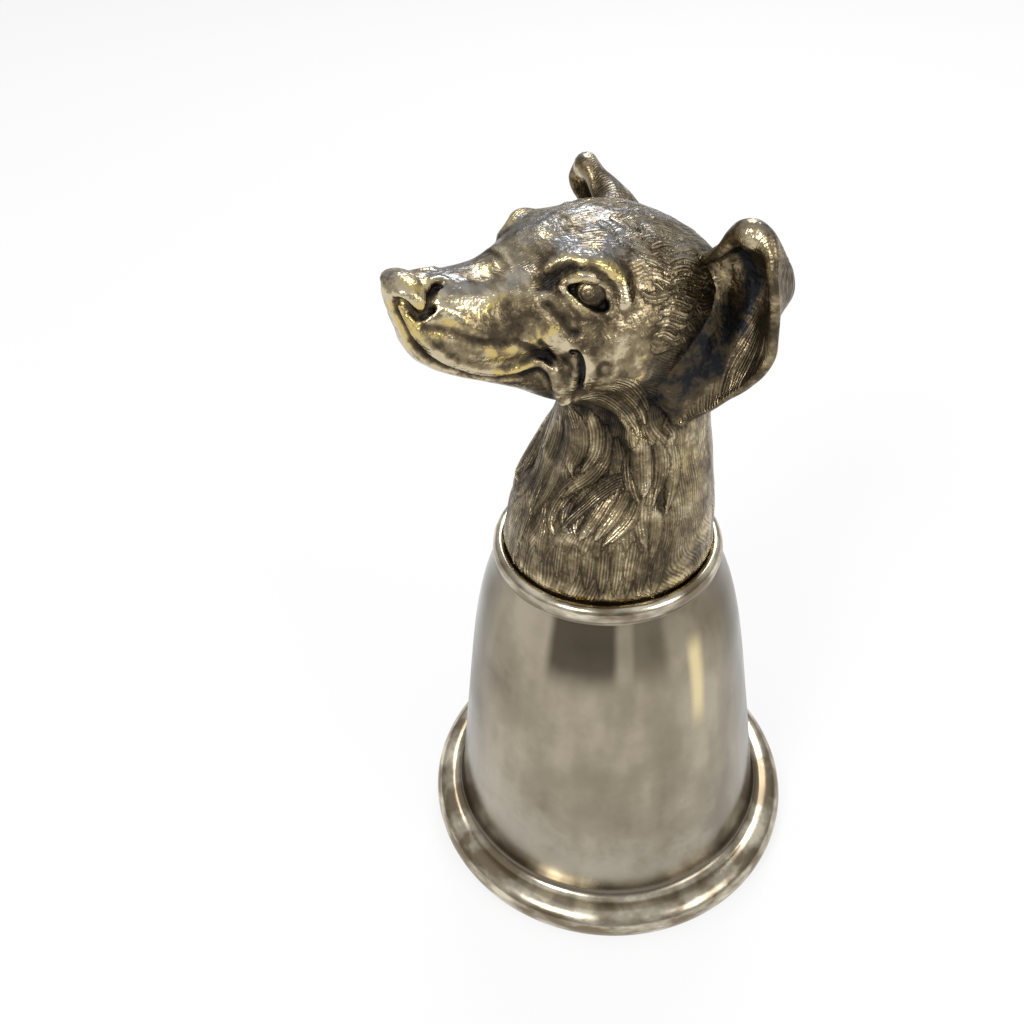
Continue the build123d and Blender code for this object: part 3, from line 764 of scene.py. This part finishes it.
def makeEar(name, side, replaced, material):
    rows, steps = ear["rowsAlong"], ear["stepsAcross"]
    middle = smoothGrid([row[1] for row in ear["rows"]], rows, steps)
    middle = middle + smoothStep(143, 156, middle[..., 2:]) * ear["lean"][name]
    buried = 1 - smoothStep(0.0, 0.16, np.linspace(0, 1, steps))
    middle = middle - buried[None, :, None] * np.array(ear["rootDepth"])
    rim = smoothRun(np.linspace(0, len(ear["rows"]) - 1, rows), np.arange(len(ear["rows"])), [row[0] for row in ear["rows"]])
    down, out = np.gradient(middle, axis=0), np.gradient(middle, axis=1)
    outward = np.cross(out, down)
    outward /= np.linalg.norm(outward, axis=2)[..., None]
    out /= np.linalg.norm(out, axis=2)[..., None]
    share = np.linspace(0, 1, steps)
    wall = np.minimum(ear["wall"], rim)[:, None]
    half = wall + (rim[:, None] - wall) * smoothStep(0.76, 1.0, share)[None]
    across = np.cumsum(np.linalg.norm(np.diff(middle, axis=1, prepend=middle[:, :1]), axis=2), 1)
    length = np.cumsum(np.linalg.norm(np.diff(middle[:, -1], axis=0, prepend=middle[:1, -1]), axis=1))
    place = np.linspace(0, 1, rows)[:, None]
    # strands: grooves that run down the ear, deeper low down on the inside
    strand = np.sin(across * 2 * math.pi / 0.78 + 1.2 * np.sin(length[:, None] * 0.22 + across * 0.5))
    strand = strand + 0.5 * np.sin(across * 2 * math.pi / 1.35 + 0.8 * np.sin(length[:, None] * 0.3))
    inside = strand * 0.06 * smoothStep(0.55, 0.68, place) * smoothStep(0.42, 0.55, share)[None]
    outside = strand * 0.05 * smoothStep(0.25, 0.4, place)
    edge = 1 - smoothStep(0.93, 1.0, share)[None]
    back = middle + outward * (half + outside * edge)[..., None]
    front = middle - outward * (half + inside * edge)[..., None]
    turns = np.linspace(math.pi / 2, -math.pi / 2, ear["rimSteps"] + 2)[1:-1]
    roll = [
        middle[:, -1] + rim[:, None] * (math.cos(a) * out[:, -1] + math.sin(a) * outward[:, -1]) for a in turns
    ]
    loops = np.concatenate([back, np.stack(roll, 1), front[:, ::-1]], 1)
    count = loops.shape[1]
    faces = []
    for row in range(rows - 1):
        here = row * count
        for k in range(count):
            after = (k + 1) % count
            faces.append((here + k, here + after, here + count + after, here + count + k))
    points = loops.reshape(-1, 3)
    squares = np.array(faces)
    a, b, c = (points[squares[:, i]] for i in (0, 1, 3))
    flat = np.cross(b - a, c - a)
    normals = np.zeros_like(points)
    for i in range(4):
        np.add.at(normals, squares[:, i], flat)
    normals /= np.maximum(np.linalg.norm(normals, axis=1), 1e-9)[:, None]
    # painted shade inside: a dark slot at the top, that widens into a dark hollow, and brown from there to the rim
    slot = smoothStep(0.24, 0.33, share) * (1 - smoothStep(0.40, 0.50, share))
    high = 0.26 + 1.0 * slot
    low = 0.27 + 0.68 * (1 - smoothStep(0.36, 0.56, share)) * smoothStep(0.0, 0.10, share)
    lower = smoothStep(0.44, 0.60, place)
    pocket = (1 - lower) * high[None] + lower * low[None] * (1 - 0.5 * smoothStep(0.75, 1.0, place))
    knob = smoothStep(0.42, 0.3, place) * smoothStep(0.08, 0.2, place)
    pocket = pocket * (1 - knob * smoothStep(0.78, 0.92, share)[None])
    rolled = np.repeat(0.5 - 0.5 * knob, len(roll), 1)
    grimeAndShade = np.concatenate([np.full((rows, steps), 0.25) - 0.2 * knob, rolled, pocket[:, ::-1]], 1)
    along = np.repeat(length[:, None], count, 1)
    run = np.concatenate([across, np.repeat(across[:, -1:], len(roll), 1), across[:, ::-1]], 1)
    sort = np.concatenate([np.zeros((rows, steps)), np.full((rows, len(roll)), 0.3), np.full((rows, steps), 0.6)], 1)
    hair = np.stack([run, along, sort], 2).reshape(-1, 3)
    cover = np.concatenate(
        [np.full((rows, steps), 1.0), np.full((rows, len(roll)), 0.15), (smoothStep(0.5, 0.66, place) * smoothStep(0.42, 0.55, share))[:, ::-1]], 1
    ).ravel()
    faces += [tuple(range(count))[::-1], tuple(range((rows - 1) * count, rows * count))]
    if side < 0:
        points, normals = points * (-1, 1, 1), normals * (-1, 1, 1)
        faces = [face[::-1] for face in faces]
    piece = newPiece(name, points, faces, replaced, material)
    storeLooks(piece, squares, points, normals, grimeAndShade.ravel(), hair, cover, 0.42)


# The eyes: domed beads with an engraved iris

eye = dict(
    place=(10.95, -10.35, 149.0),
    axis=(0.74, -0.60, 0.30),
    size=1.06,
    turns=72,
    # radius and height of the outline from the middle of the front to the middle of the back
    outline=[
        (0.0, 2.30), (0.22, 2.29), (0.38, 2.25), (0.46, 2.16), (0.56, 2.14), (0.66, 2.20), (0.85, 2.19), (1.05, 2.12), (1.2, 2.04),
        (1.28, 1.94), (1.38, 1.90), (1.5, 1.90), (1.8, 1.71), (2.15, 1.36), (2.45, 0.86), (2.6, 0.3), (2.62, -0.4), (2.6, -1.2), (1.4, -1.25), (0.0, -1.25),
    ],
)


def turnedPoints(outline, turns):
    # points and faces of a form turned about Z, closed at both ends of its outline
    middle = np.asarray(outline)[1:-1]
    angles = np.arange(turns) * 2 * math.pi / turns
    rings = np.stack(
        [middle[:, None, 0] * np.cos(angles), middle[:, None, 0] * np.sin(angles), np.repeat(middle[:, 1:], turns, 1)], 2
    )
    points = np.concatenate([[(0, 0, outline[0][1]), (0, 0, outline[-1][1])], rings.reshape(-1, 3)])
    faces = []
    for row in range(len(middle) - 1):
        for k in range(turns):
            here, after = 2 + row * turns, (k + 1) % turns
            faces.append((here + k, here + turns + k, here + turns + after, here + after))
    last = 2 + (len(middle) - 1) * turns
    for k in range(turns):
        after = (k + 1) % turns
        faces.append((0, 2 + k, 2 + after))
        faces.append((1, last + after, last + k))
    return points, faces


def makeEye(name, side, replaced, material):
    points, faces = turnedPoints(smoothPath(eye["outline"], 2), eye["turns"])
    turn = Vector(eye["axis"]).to_track_quat("Z", "Y").to_matrix()
    points = points * eye["size"] @ np.array(turn).T + np.array(eye["place"])
    if side < 0:
        points = points * (-1, 1, 1)
        faces = [face[::-1] for face in faces]
    newPiece(name, points, faces, replaced, material)


# The bowl, turned smooth on its axis

bowl = dict(
    turns=192,
    # radius and height of the outline, from the middle of the closed end down the outside and up the inside
    outline=[
        (0.0, 84.5), (12.0, 84.5), (20.6, 84.5), (20.9, 84.7), (21.1, 85.3), (21.35, 86.0), (21.85, 86.55), (22.55, 86.8),
        (23.25, 86.6), (23.8, 86.0), (24.1, 85.1), (24.1, 84.2), (23.9, 83.5), (23.8, 83.0), (23.95, 82.5),
        (24.9, 79.5), (26.9, 74.0), (28.8, 66.5), (30.25, 58.5), (31.6, 49.5), (33.0, 39.5), (34.5, 29.0), (35.9, 18.8),
        (36.7, 12.6), (36.95, 10.8), (37.2, 9.5), (37.9, 8.3), (39.0, 7.75), (40.2, 7.8), (41.6, 7.7), (42.9, 7.0),
        (43.9, 5.9), (44.4, 4.6), (44.45, 3.3), (44.1, 2.0), (43.4, 0.95), (42.5, 0.3), (41.6, 0.02), (40.6, 0.0),
        (39.5, 0.02), (38.6, 0.35), (37.8, 0.8), (37.2, 1.3), (36.75, 2.0), (36.45, 3.0),
        (36.2, 5.0), (35.5, 12.0), (34.0, 24.0), (32.2, 36.5), (30.5, 48.5), (28.9, 60.0), (27.6, 68.0), (26.0, 74.8),
        (24.3, 79.6), (22.6, 82.0), (20.4, 83.2), (17.0, 83.4), (8.0, 83.4), (0.0, 83.4),
    ],
)


def makeBowl(material):
    points, faces = turnedPoints(smoothPath(bowl["outline"], 3), bowl["turns"])
    newPiece("spunBowl", points, faces, "cup_shell", material)


# Materials

def addNode(tree, kind, **settings):
    node = tree.nodes.new(kind)
    for key, value in settings.items():
        setattr(node, key, value)
    return node


def feed(tree, socket, value):
    # joins another node's socket, or sets a plain value
    if isinstance(value, bpy.types.NodeSocket):
        tree.links.new(value, socket)
    elif isinstance(value, (tuple, list)) and socket.type == "RGBA":
        socket.default_value = (*value, 1) if len(value) == 3 else value
    else:
        socket.default_value = value


def sums(tree, operation, *values):
    node = addNode(tree, "ShaderNodeMath", operation=operation)
    for i, value in enumerate(values):
        feed(tree, node.inputs[i], value)
    return node.outputs[0]


def mixed(tree, share, first, second, blend="MIX"):
    node = addNode(tree, "ShaderNodeMix", data_type="RGBA", blend_type=blend)
    feed(tree, node.inputs[0], share)
    feed(tree, node.inputs[6], first)
    feed(tree, node.inputs[7], second)
    return node.outputs[2]


def stepped(tree, value, low, high, outLow=0.0, outHigh=1.0):
    node = addNode(tree, "ShaderNodeMapRange", interpolation_type="SMOOTHSTEP")
    for i, number in enumerate((value, low, high, outLow, outHigh)):
        feed(tree, node.inputs[i], number)
    return node.outputs[0]


def noise(tree, vector, scale, detail=3.0, roughness=0.55):
    node = addNode(tree, "ShaderNodeTexNoise")
    feed(tree, node.inputs["Vector"], vector)
    feed(tree, node.inputs["Scale"], scale)
    feed(tree, node.inputs["Detail"], detail)
    feed(tree, node.inputs["Roughness"], roughness)
    return node.outputs["Fac"]


def scaled(tree, vector, factors):
    node = addNode(tree, "ShaderNodeVectorMath", operation="MULTIPLY")
    feed(tree, node.inputs[0], vector)
    feed(tree, node.inputs[1], factors)
    return node.outputs[0]


def newGroup(name, inputs, outputs):
    # inputs are name: (kind, default), outputs are name: kind
    group = bpy.data.node_groups.new(name, "ShaderNodeTree")
    for label, (kind, value) in inputs.items():
        socket = group.interface.new_socket(label, in_out="INPUT", socket_type=kind)
        if value is not None:
            socket.default_value = (*value, 1) if kind == "NodeSocketColor" else value
    for label, kind in outputs.items():
        group.interface.new_socket(label, in_out="OUTPUT", socket_type=kind)
    return group, group.nodes.new("NodeGroupInput").outputs, group.nodes.new("NodeGroupOutput").inputs


def strandGroup():
    # fine hair: how high each strand stands, from the run of its lock
    tree, given, out = newGroup(
        "hairStrands",
        {"Hair": ("NodeSocketVector", None)},
        {"Height": "NodeSocketFloat"},
    )
    run = addNode(tree, "ShaderNodeSeparateXYZ")
    tree.links.new(given["Hair"], run.inputs[0])
    drift = noise(tree, scaled(tree, given["Hair"], (0.32, 0.05, 17.0)), 1.0, 2.0, 0.5)
    phase = sums(tree, "MULTIPLY_ADD", run.outputs[0], 11.0, sums(tree, "MULTIPLY", drift, 11.0))
    line = sums(tree, "SINE", phase)
    depth = stepped(tree, noise(tree, scaled(tree, given["Hair"], (0.6, 0.10, 29.0)), 1.0, 1.0, 0.5), 0.36, 0.60, 0.12, 0.5)
    fine = noise(tree, scaled(tree, given["Hair"], (2.6, 0.14, 41.0)), 1.0, 1.0, 0.5)
    high = sums(tree, "MULTIPLY_ADD", line, depth, sums(tree, "MULTIPLY_ADD", fine, 0.5, 0.25))
    tree.links.new(high, out["Height"])
    return tree


def patinaGroup():
    # old pewter: bright where it is worn, brown in the hollows and nearly black where dirt stays; the third channel of
    # Shade carries that dirt together with painted shade
    colours = {
        "Rubbed": (0.60, 0.51, 0.34), "Plain": (0.25, 0.195, 0.115), "Brown": (0.085, 0.065, 0.040), "Black": (0.020, 0.018, 0.016),
        "GoldenSheen": (0.62, 0.47, 0.14), "CoolSheen": (0.24, 0.26, 0.29),
    }
    inputs = {
        "Shade": ("NodeSocketColor", (0.5, 0.5, 0.0)), "Strands": ("NodeSocketFloat", 0.5), "Cover": ("NodeSocketFloat", 0.0),
        "Amount": ("NodeSocketFloat", 0.0),
    }
    inputs.update({label: ("NodeSocketColor", value) for label, value in colours.items()})
    tree, given, out = newGroup(
        "agedPewter", inputs, {"Color": "NodeSocketColor", "Roughness": "NodeSocketFloat", "Height": "NodeSocketFloat"}
    )
    place = addNode(tree, "ShaderNodeTexCoord").outputs["Object"]
    parts = addNode(tree, "ShaderNodeSeparateColor")
    tree.links.new(given["Shade"], parts.inputs[0])
    close = sums(tree, "SUBTRACT", parts.outputs[0], 0.5)
    wide = sums(tree, "SUBTRACT", parts.outputs[1], 0.5)
    blotch = sums(tree, "SUBTRACT", noise(tree, place, 170.0, 4.0, 0.6), 0.5)
    speck = sums(tree, "SUBTRACT", noise(tree, place, 800.0, 3.0, 0.65), 0.5)
    dark = sums(tree, "MULTIPLY_ADD", close, 0.9, 0.47)
    dark = sums(tree, "MULTIPLY_ADD", wide, 0.8, dark)
    # the third channel of Shade: dirt, and painted shade in the jaw, throat, cheek and ear hollows
    dark = sums(tree, "MULTIPLY_ADD", parts.outputs[2], 0.62, dark)
    bare = sums(tree, "MULTIPLY_ADD", given["Cover"], -0.6, 1.0)
    patch = sums(tree, "SUBTRACT", noise(tree, place, 330.0, 3.0, 0.6), 0.5)
    dark = sums(tree, "MULTIPLY_ADD", sums(tree, "MULTIPLY", patch, bare), 1.3, dark)
    dark = sums(tree, "MULTIPLY_ADD", blotch, 1.3, dark)
    dark = sums(tree, "MULTIPLY_ADD", speck, 0.5, dark)
    line = sums(tree, "MULTIPLY", sums(tree, "SUBTRACT", 0.5, given["Strands"]), given["Cover"])
    dark = sums(tree, "MULTIPLY_ADD", line, 0.34, dark)
    dark = sums(tree, "ADD", dark, given["Amount"])
    colour = mixed(tree, stepped(tree, dark, 0.05, 0.42), given["Rubbed"], given["Plain"])
    # yellow-gold patches on light bare metal: a tint, and partly a painted warm highlight
    goldenSheen = sums(tree, "MULTIPLY", stepped(tree, noise(tree, place, 140.0, 2.0, 0.5), 0.50, 0.60), stepped(tree, dark, 0.2, 0.45, 0.75, 0.0))
    goldenSheen = sums(tree, "MULTIPLY", goldenSheen, sums(tree, "MULTIPLY_ADD", given["Cover"], -0.8, 1.0))
    colour = mixed(tree, goldenSheen, colour, given["GoldenSheen"])
    # painted reflection: the crown, where the metal faces up, is tinted bluish grey as if it mirrored a pale sky
    up = addNode(tree, "ShaderNodeSeparateXYZ")
    tree.links.new(addNode(tree, "ShaderNodeNewGeometry").outputs["Normal"], up.inputs[0])
    coolSheen = sums(tree, "MULTIPLY", stepped(tree, up.outputs[2], 0.55, 0.95), stepped(tree, noise(tree, place, 120.0, 3.0, 0.6), 0.42, 0.58, 0.15, 0.75))
    colour = mixed(tree, coolSheen, colour, given["CoolSheen"])
    colour = mixed(tree, stepped(tree, dark, 0.38, 0.74), colour, given["Brown"])
    colour = mixed(tree, stepped(tree, dark, 0.74, 1.15), colour, given["Black"])
    tree.links.new(colour, out["Color"])
    tree.links.new(stepped(tree, dark, 0.1, 0.9, 0.24, 0.46), out["Roughness"])
    tree.links.new(sums(tree, "MULTIPLY_ADD", speck, 0.12, sums(tree, "MULTIPLY_ADD", patch, 1.2, sums(tree, "MULTIPLY", blotch, 2.6))), out["Height"])
    return tree


strands = strandGroup()
patina = patinaGroup()


def useGroup(tree, group, **values):
    node = addNode(tree, "ShaderNodeGroup", node_tree=group)
    for label, value in values.items():
        feed(tree, node.inputs[label], value)
    return node.outputs


def newMaterial(name, metallic):
    material = bpy.data.materials.new(name)
    material.use_nodes = True
    tree = material.node_tree
    shader = tree.nodes["Principled BSDF"]
    shader.inputs["Metallic"].default_value = metallic
    return material, tree, shader.inputs


def bumped(tree, height, distance, strength=1.0, normal=None):
    node = addNode(tree, "ShaderNodeBump")
    node.inputs["Strength"].default_value = strength
    node.inputs["Distance"].default_value = distance
    tree.links.new(height, node.inputs["Height"])
    if normal is not None:
        tree.links.new(normal, node.inputs["Normal"])
    return node.outputs["Normal"]


def castMetal(name, haired, **tints):
    material, tree, shader = newMaterial(name, 1.0)
    values = dict(tints)
    if haired:
        shade = addNode(tree, "ShaderNodeAttribute", attribute_name="shade")
        hair = addNode(tree, "ShaderNodeAttribute", attribute_name="hair")
        cover = addNode(tree, "ShaderNodeAttribute", attribute_name="cover")
        rise = useGroup(tree, strands, Hair=hair.outputs["Vector"])["Height"]
        values.update(Shade=shade.outputs["Color"], Strands=rise, Cover=cover.outputs["Fac"])
    looks = useGroup(tree, patina, **values)
    tree.links.new(looks["Color"], shader["Base Color"])
    tree.links.new(looks["Roughness"], shader["Roughness"])
    normal = bumped(tree, looks["Height"], 0.0003)
    if haired:
        normal = bumped(tree, sums(tree, "MULTIPLY", rise, cover.outputs["Fac"]), 0.00012, normal=normal)
    tree.links.new(normal, shader["Normal"])
    return material


def silverMaterial():
    # worn silver plate: warm grey and clouded; its colour also holds painted reflections, dark below the shoulder and
    # at the two sides, with a warm streak and gold and white glints; brown painted shade where the cove and the rim
    # roll under
    material, tree, shader = newMaterial("silverPlate", 1.0)
    place = addNode(tree, "ShaderNodeTexCoord").outputs["Object"]
    parts = addNode(tree, "ShaderNodeSeparateXYZ")
    tree.links.new(place, parts.inputs[0])
    tall = parts.outputs[2]
    streak = noise(tree, scaled(tree, place, (1.0, 1.0, 0.20)), 62.0, 3.0, 0.5)
    cloud = noise(tree, place, 42.0, 5.0, 0.62)
    # how far round the wall a point is: nought in the middle of the front and back, one at the two sides
    flat = addNode(tree, "ShaderNodeVectorMath", operation="NORMALIZE")
    feed(tree, flat.inputs[0], scaled(tree, place, (1.0, 1.0, 0.0)))
    across = addNode(tree, "ShaderNodeVectorMath", operation="DOT_PRODUCT")
    feed(tree, across.inputs[0], flat.outputs[0])
    feed(tree, across.inputs[1], (0.545, 0.839, 0.0))
    around = sums(tree, "ADD", across.outputs["Value"], sums(tree, "MULTIPLY_ADD", streak, 0.16, -0.08))

    def band(value, low, lowFull, highFull, high, most=1.0):
        return sums(tree, "MULTIPLY", stepped(tree, value, low, lowFull), stepped(tree, value, highFull, high, most, 0.0))

    # streaked and clouded grey-brown tone, which also stands in for painted reflections running down the wall
    both = sums(tree, "ADD", sums(tree, "MULTIPLY", streak, 0.6), sums(tree, "MULTIPLY", cloud, 0.4))
    colour = mixed(tree, stepped(tree, both, 0.38, 0.52), (0.17, 0.137, 0.092), (0.285, 0.245, 0.178))
    colour = mixed(tree, stepped(tree, both, 0.50, 0.63), colour, (0.41, 0.36, 0.27))
    # lighter low on the wall, in clouds
    paleLow = sums(tree, "MULTIPLY", stepped(tree, tall, 0.046, 0.022), stepped(tree, cloud, 0.40, 0.60, 0.12, 0.5))
    colour = mixed(tree, paleLow, colour, (0.47, 0.435, 0.365))
    # painted reflections: dark patches below the shoulder, and one warm painted highlight further down the wall
    shoulderDarkReflection = sums(tree, "MAXIMUM", band(around, -0.46, -0.38, 0.04, 0.12), band(around, 0.18, 0.24, 0.40, 0.50, 0.6))
    shoulderDarkReflection = sums(tree, "MULTIPLY", shoulderDarkReflection, stepped(tree, sums(tree, "MULTIPLY_ADD", cloud, 0.012, tall), 0.0725, 0.0815))
    colour = mixed(tree, sums(tree, "MULTIPLY", shoulderDarkReflection, 0.9), colour, (0.062, 0.050, 0.034))
    paintedGlint = sums(tree, "MULTIPLY", band(around, 0.59, 0.65, 0.67, 0.73), band(tall, 0.052, 0.062, 0.072, 0.078))
    colour = mixed(tree, sums(tree, "MULTIPLY", paintedGlint, 0.8), colour, (0.86, 0.72, 0.40))
    # painted reflection: the wall goes dark towards its two sides
    side = sums(tree, "ADD", sums(tree, "ABSOLUTE", across.outputs["Value"]), sums(tree, "MULTIPLY_ADD", cloud, 0.3, -0.15))
    colour = mixed(tree, stepped(tree, side, 0.84, 1.0, 0.0, 0.75), colour, (0.085, 0.070, 0.045))
    # painted highlights: gold and white glints spotted over the shoulder's ring and the rolled rim; brown lies in the
    # cove and below the edge
    rolled = stepped(tree, tall, 0.0090, 0.0080)
    glintSpots = noise(tree, scaled(tree, place, (1.0, 1.0, 3.0)), 95.0, 3.0, 0.55)
    rim = mixed(tree, stepped(tree, glintSpots, 0.40, 0.56), (0.22, 0.175, 0.115), (0.44, 0.39, 0.30))
    rim = mixed(tree, stepped(tree, glintSpots, 0.54, 0.66), rim, (0.72, 0.65, 0.50))
    colour = mixed(tree, sums(tree, "MAXIMUM", rolled, stepped(tree, tall, 0.0828, 0.0836)), colour, rim)
    # brown in the cove: tarnish, and painted shade in the recess
    colour = mixed(tree, band(tall, 0.0075, 0.0088, 0.0100, 0.0125, 0.65), colour, (0.085, 0.065, 0.042))
    # painted shade: brown below the rolled edge, low down
    colour = mixed(tree, stepped(tree, tall, 0.0035, 0.0015, 0.0, 0.7), colour, (0.10, 0.07, 0.04))
    tree.links.new(colour, shader["Base Color"])
    tree.links.new(stepped(tree, cloud, 0.3, 0.7, 0.14, 0.28), shader["Roughness"])
    tree.links.new(bumped(tree, noise(tree, place, 42.0, 1.5, 0.4), 0.0006), shader["Normal"])
    return material


def plainMetal(name, colour, worn, roughness):
    # a turned metal with fine tool marks
    material, tree, shader = newMaterial(name, 1.0)
    place = addNode(tree, "ShaderNodeTexCoord").outputs["Object"]
    mark = noise(tree, scaled(tree, place, (1.0, 1.0, 9.0)), 420.0, 3.0, 0.6)
    tree.links.new(mixed(tree, stepped(tree, mark, 0.35, 0.65), worn, colour), shader["Base Color"])
    tree.links.new(stepped(tree, mark, 0.3, 0.7, roughness, roughness + 0.12), shader["Roughness"])
    tree.links.new(bumped(tree, mark, 0.00005), shader["Normal"])
    return material


def washerMaterial():
    material, tree, shader = newMaterial("darkFibre", 0.0)
    place = addNode(tree, "ShaderNodeTexCoord").outputs["Object"]
    grain = noise(tree, place, 1400.0, 4.0, 0.7)
    tree.links.new(mixed(tree, grain, (0.018, 0.015, 0.012), (0.06, 0.05, 0.04)), shader["Base Color"])
    tree.links.new(stepped(tree, grain, 0.3, 0.7, 0.7, 0.9), shader["Roughness"])
    tree.links.new(bumped(tree, grain, 0.0001), shader["Normal"])
    return material


def cover(node, material):
    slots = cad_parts[node].data.materials
    slots.clear()
    slots.append(material)


castPewter = castMetal("castPewter", True)
# the ears' black is a little blue: painted reflection in their hollows
earPewter = castMetal("earPewter", True, Amount=0.0, Black=(0.020, 0.021, 0.024))
eyePewter = castMetal("eyePewter", False, Amount=0.24)
makeBowl(silverMaterial())
makeHead(castPewter)
makeEar("leftEar", 1, "left_ear", earPewter)
makeEar("rightEar", -1, "right_ear", earPewter)
makeEye("leftEye", 1, "left_eye", eyePewter)
makeEye("rightEye", -1, "right_eye", eyePewter)
cover("seat_washer", washerMaterial())
cover("neck_plate", plainMetal("turnedBrass", (0.70, 0.52, 0.24), (0.50, 0.36, 0.16), 0.28))
cover("mount_stud", plainMetal("turnedSteel", (0.55, 0.55, 0.54), (0.36, 0.36, 0.36), 0.3))
print("pieces made")


# Floor, background and light

def makeStage():
    size = 3.0
    mesh = bpy.data.meshes.new("floor")
    mesh.from_pydata([(-size, -size, 0), (size, -size, 0), (size, size, 0), (-size, size, 0)], [], [(0, 1, 2, 3)])
    floor = bpy.data.objects.new("floor", mesh)
    scene.collection.objects.link(floor)
    material = bpy.data.materials.new("paleFloor")
    material.use_nodes = True
    tree = material.node_tree
    shader = tree.nodes["Principled BSDF"]
    shader.inputs["Base Color"].default_value = (0.86, 0.86, 0.86, 1)
    shader.inputs["Roughness"].default_value = 0.9
    # the eye, and metal that mirrors the floor, see it nearly white, with a light shadow
    rays = addNode(tree, "ShaderNodeLightPath").outputs
    seen = sums(tree, "ADD", rays["Is Camera Ray"], rays["Is Glossy Ray"])
    seen = sums(tree, "ADD", seen, rays["Is Transmission Ray"])
    white = addNode(tree, "ShaderNodeEmission")
    blend = addNode(tree, "ShaderNodeMixShader")
    feed(tree, blend.inputs[0], sums(tree, "MULTIPLY", seen, 0.8))
    tree.links.new(shader.outputs[0], blend.inputs[1])
    tree.links.new(white.outputs[0], blend.inputs[2])
    tree.links.new(blend.outputs[0], tree.nodes["Material Output"].inputs["Surface"])
    mesh.materials.append(material)


def makeWorld():
    # a soft grey room, dimmer low down
    world = bpy.data.worlds.new("studio")
    world.use_nodes = True
    tree = world.node_tree
    parts = addNode(tree, "ShaderNodeSeparateXYZ")
    tree.links.new(addNode(tree, "ShaderNodeTexCoord").outputs["Generated"], parts.inputs[0])
    level = stepped(tree, parts.outputs[2], 0.0, 0.9)
    tree.links.new(mixed(tree, level, (0.36, 0.355, 0.345), (0.74, 0.745, 0.76)), tree.nodes["Background"].inputs["Color"])
    scene.world = world


def areaLamp(name, place, aim, size, power, colour=(1, 1, 1)):
    data = bpy.data.lights.new(name, "AREA")
    data.size = size
    data.energy = power
    data.color = colour
    lamp = bpy.data.objects.new(name, data)
    lamp.location = place
    lamp.rotation_mode = "QUATERNION"
    lamp.rotation_quaternion = (Vector(aim) - Vector(place)).to_track_quat("-Z", "Y")
    scene.collection.objects.link(lamp)


makeStage()
makeWorld()
areaLamp("keyLamp", (0.35, -0.75, 0.75), (0, 0, 0.09), 0.30, 5.5)
areaLamp("fillLamp", (0.9, 0.35, 0.55), (0, 0, 0.09), 0.5, 3)
areaLamp("backLamp", (-0.6, 0.5, 0.8), (0, 0, 0.1), 0.4, 3.5)
scene.view_settings.view_transform = "Standard"
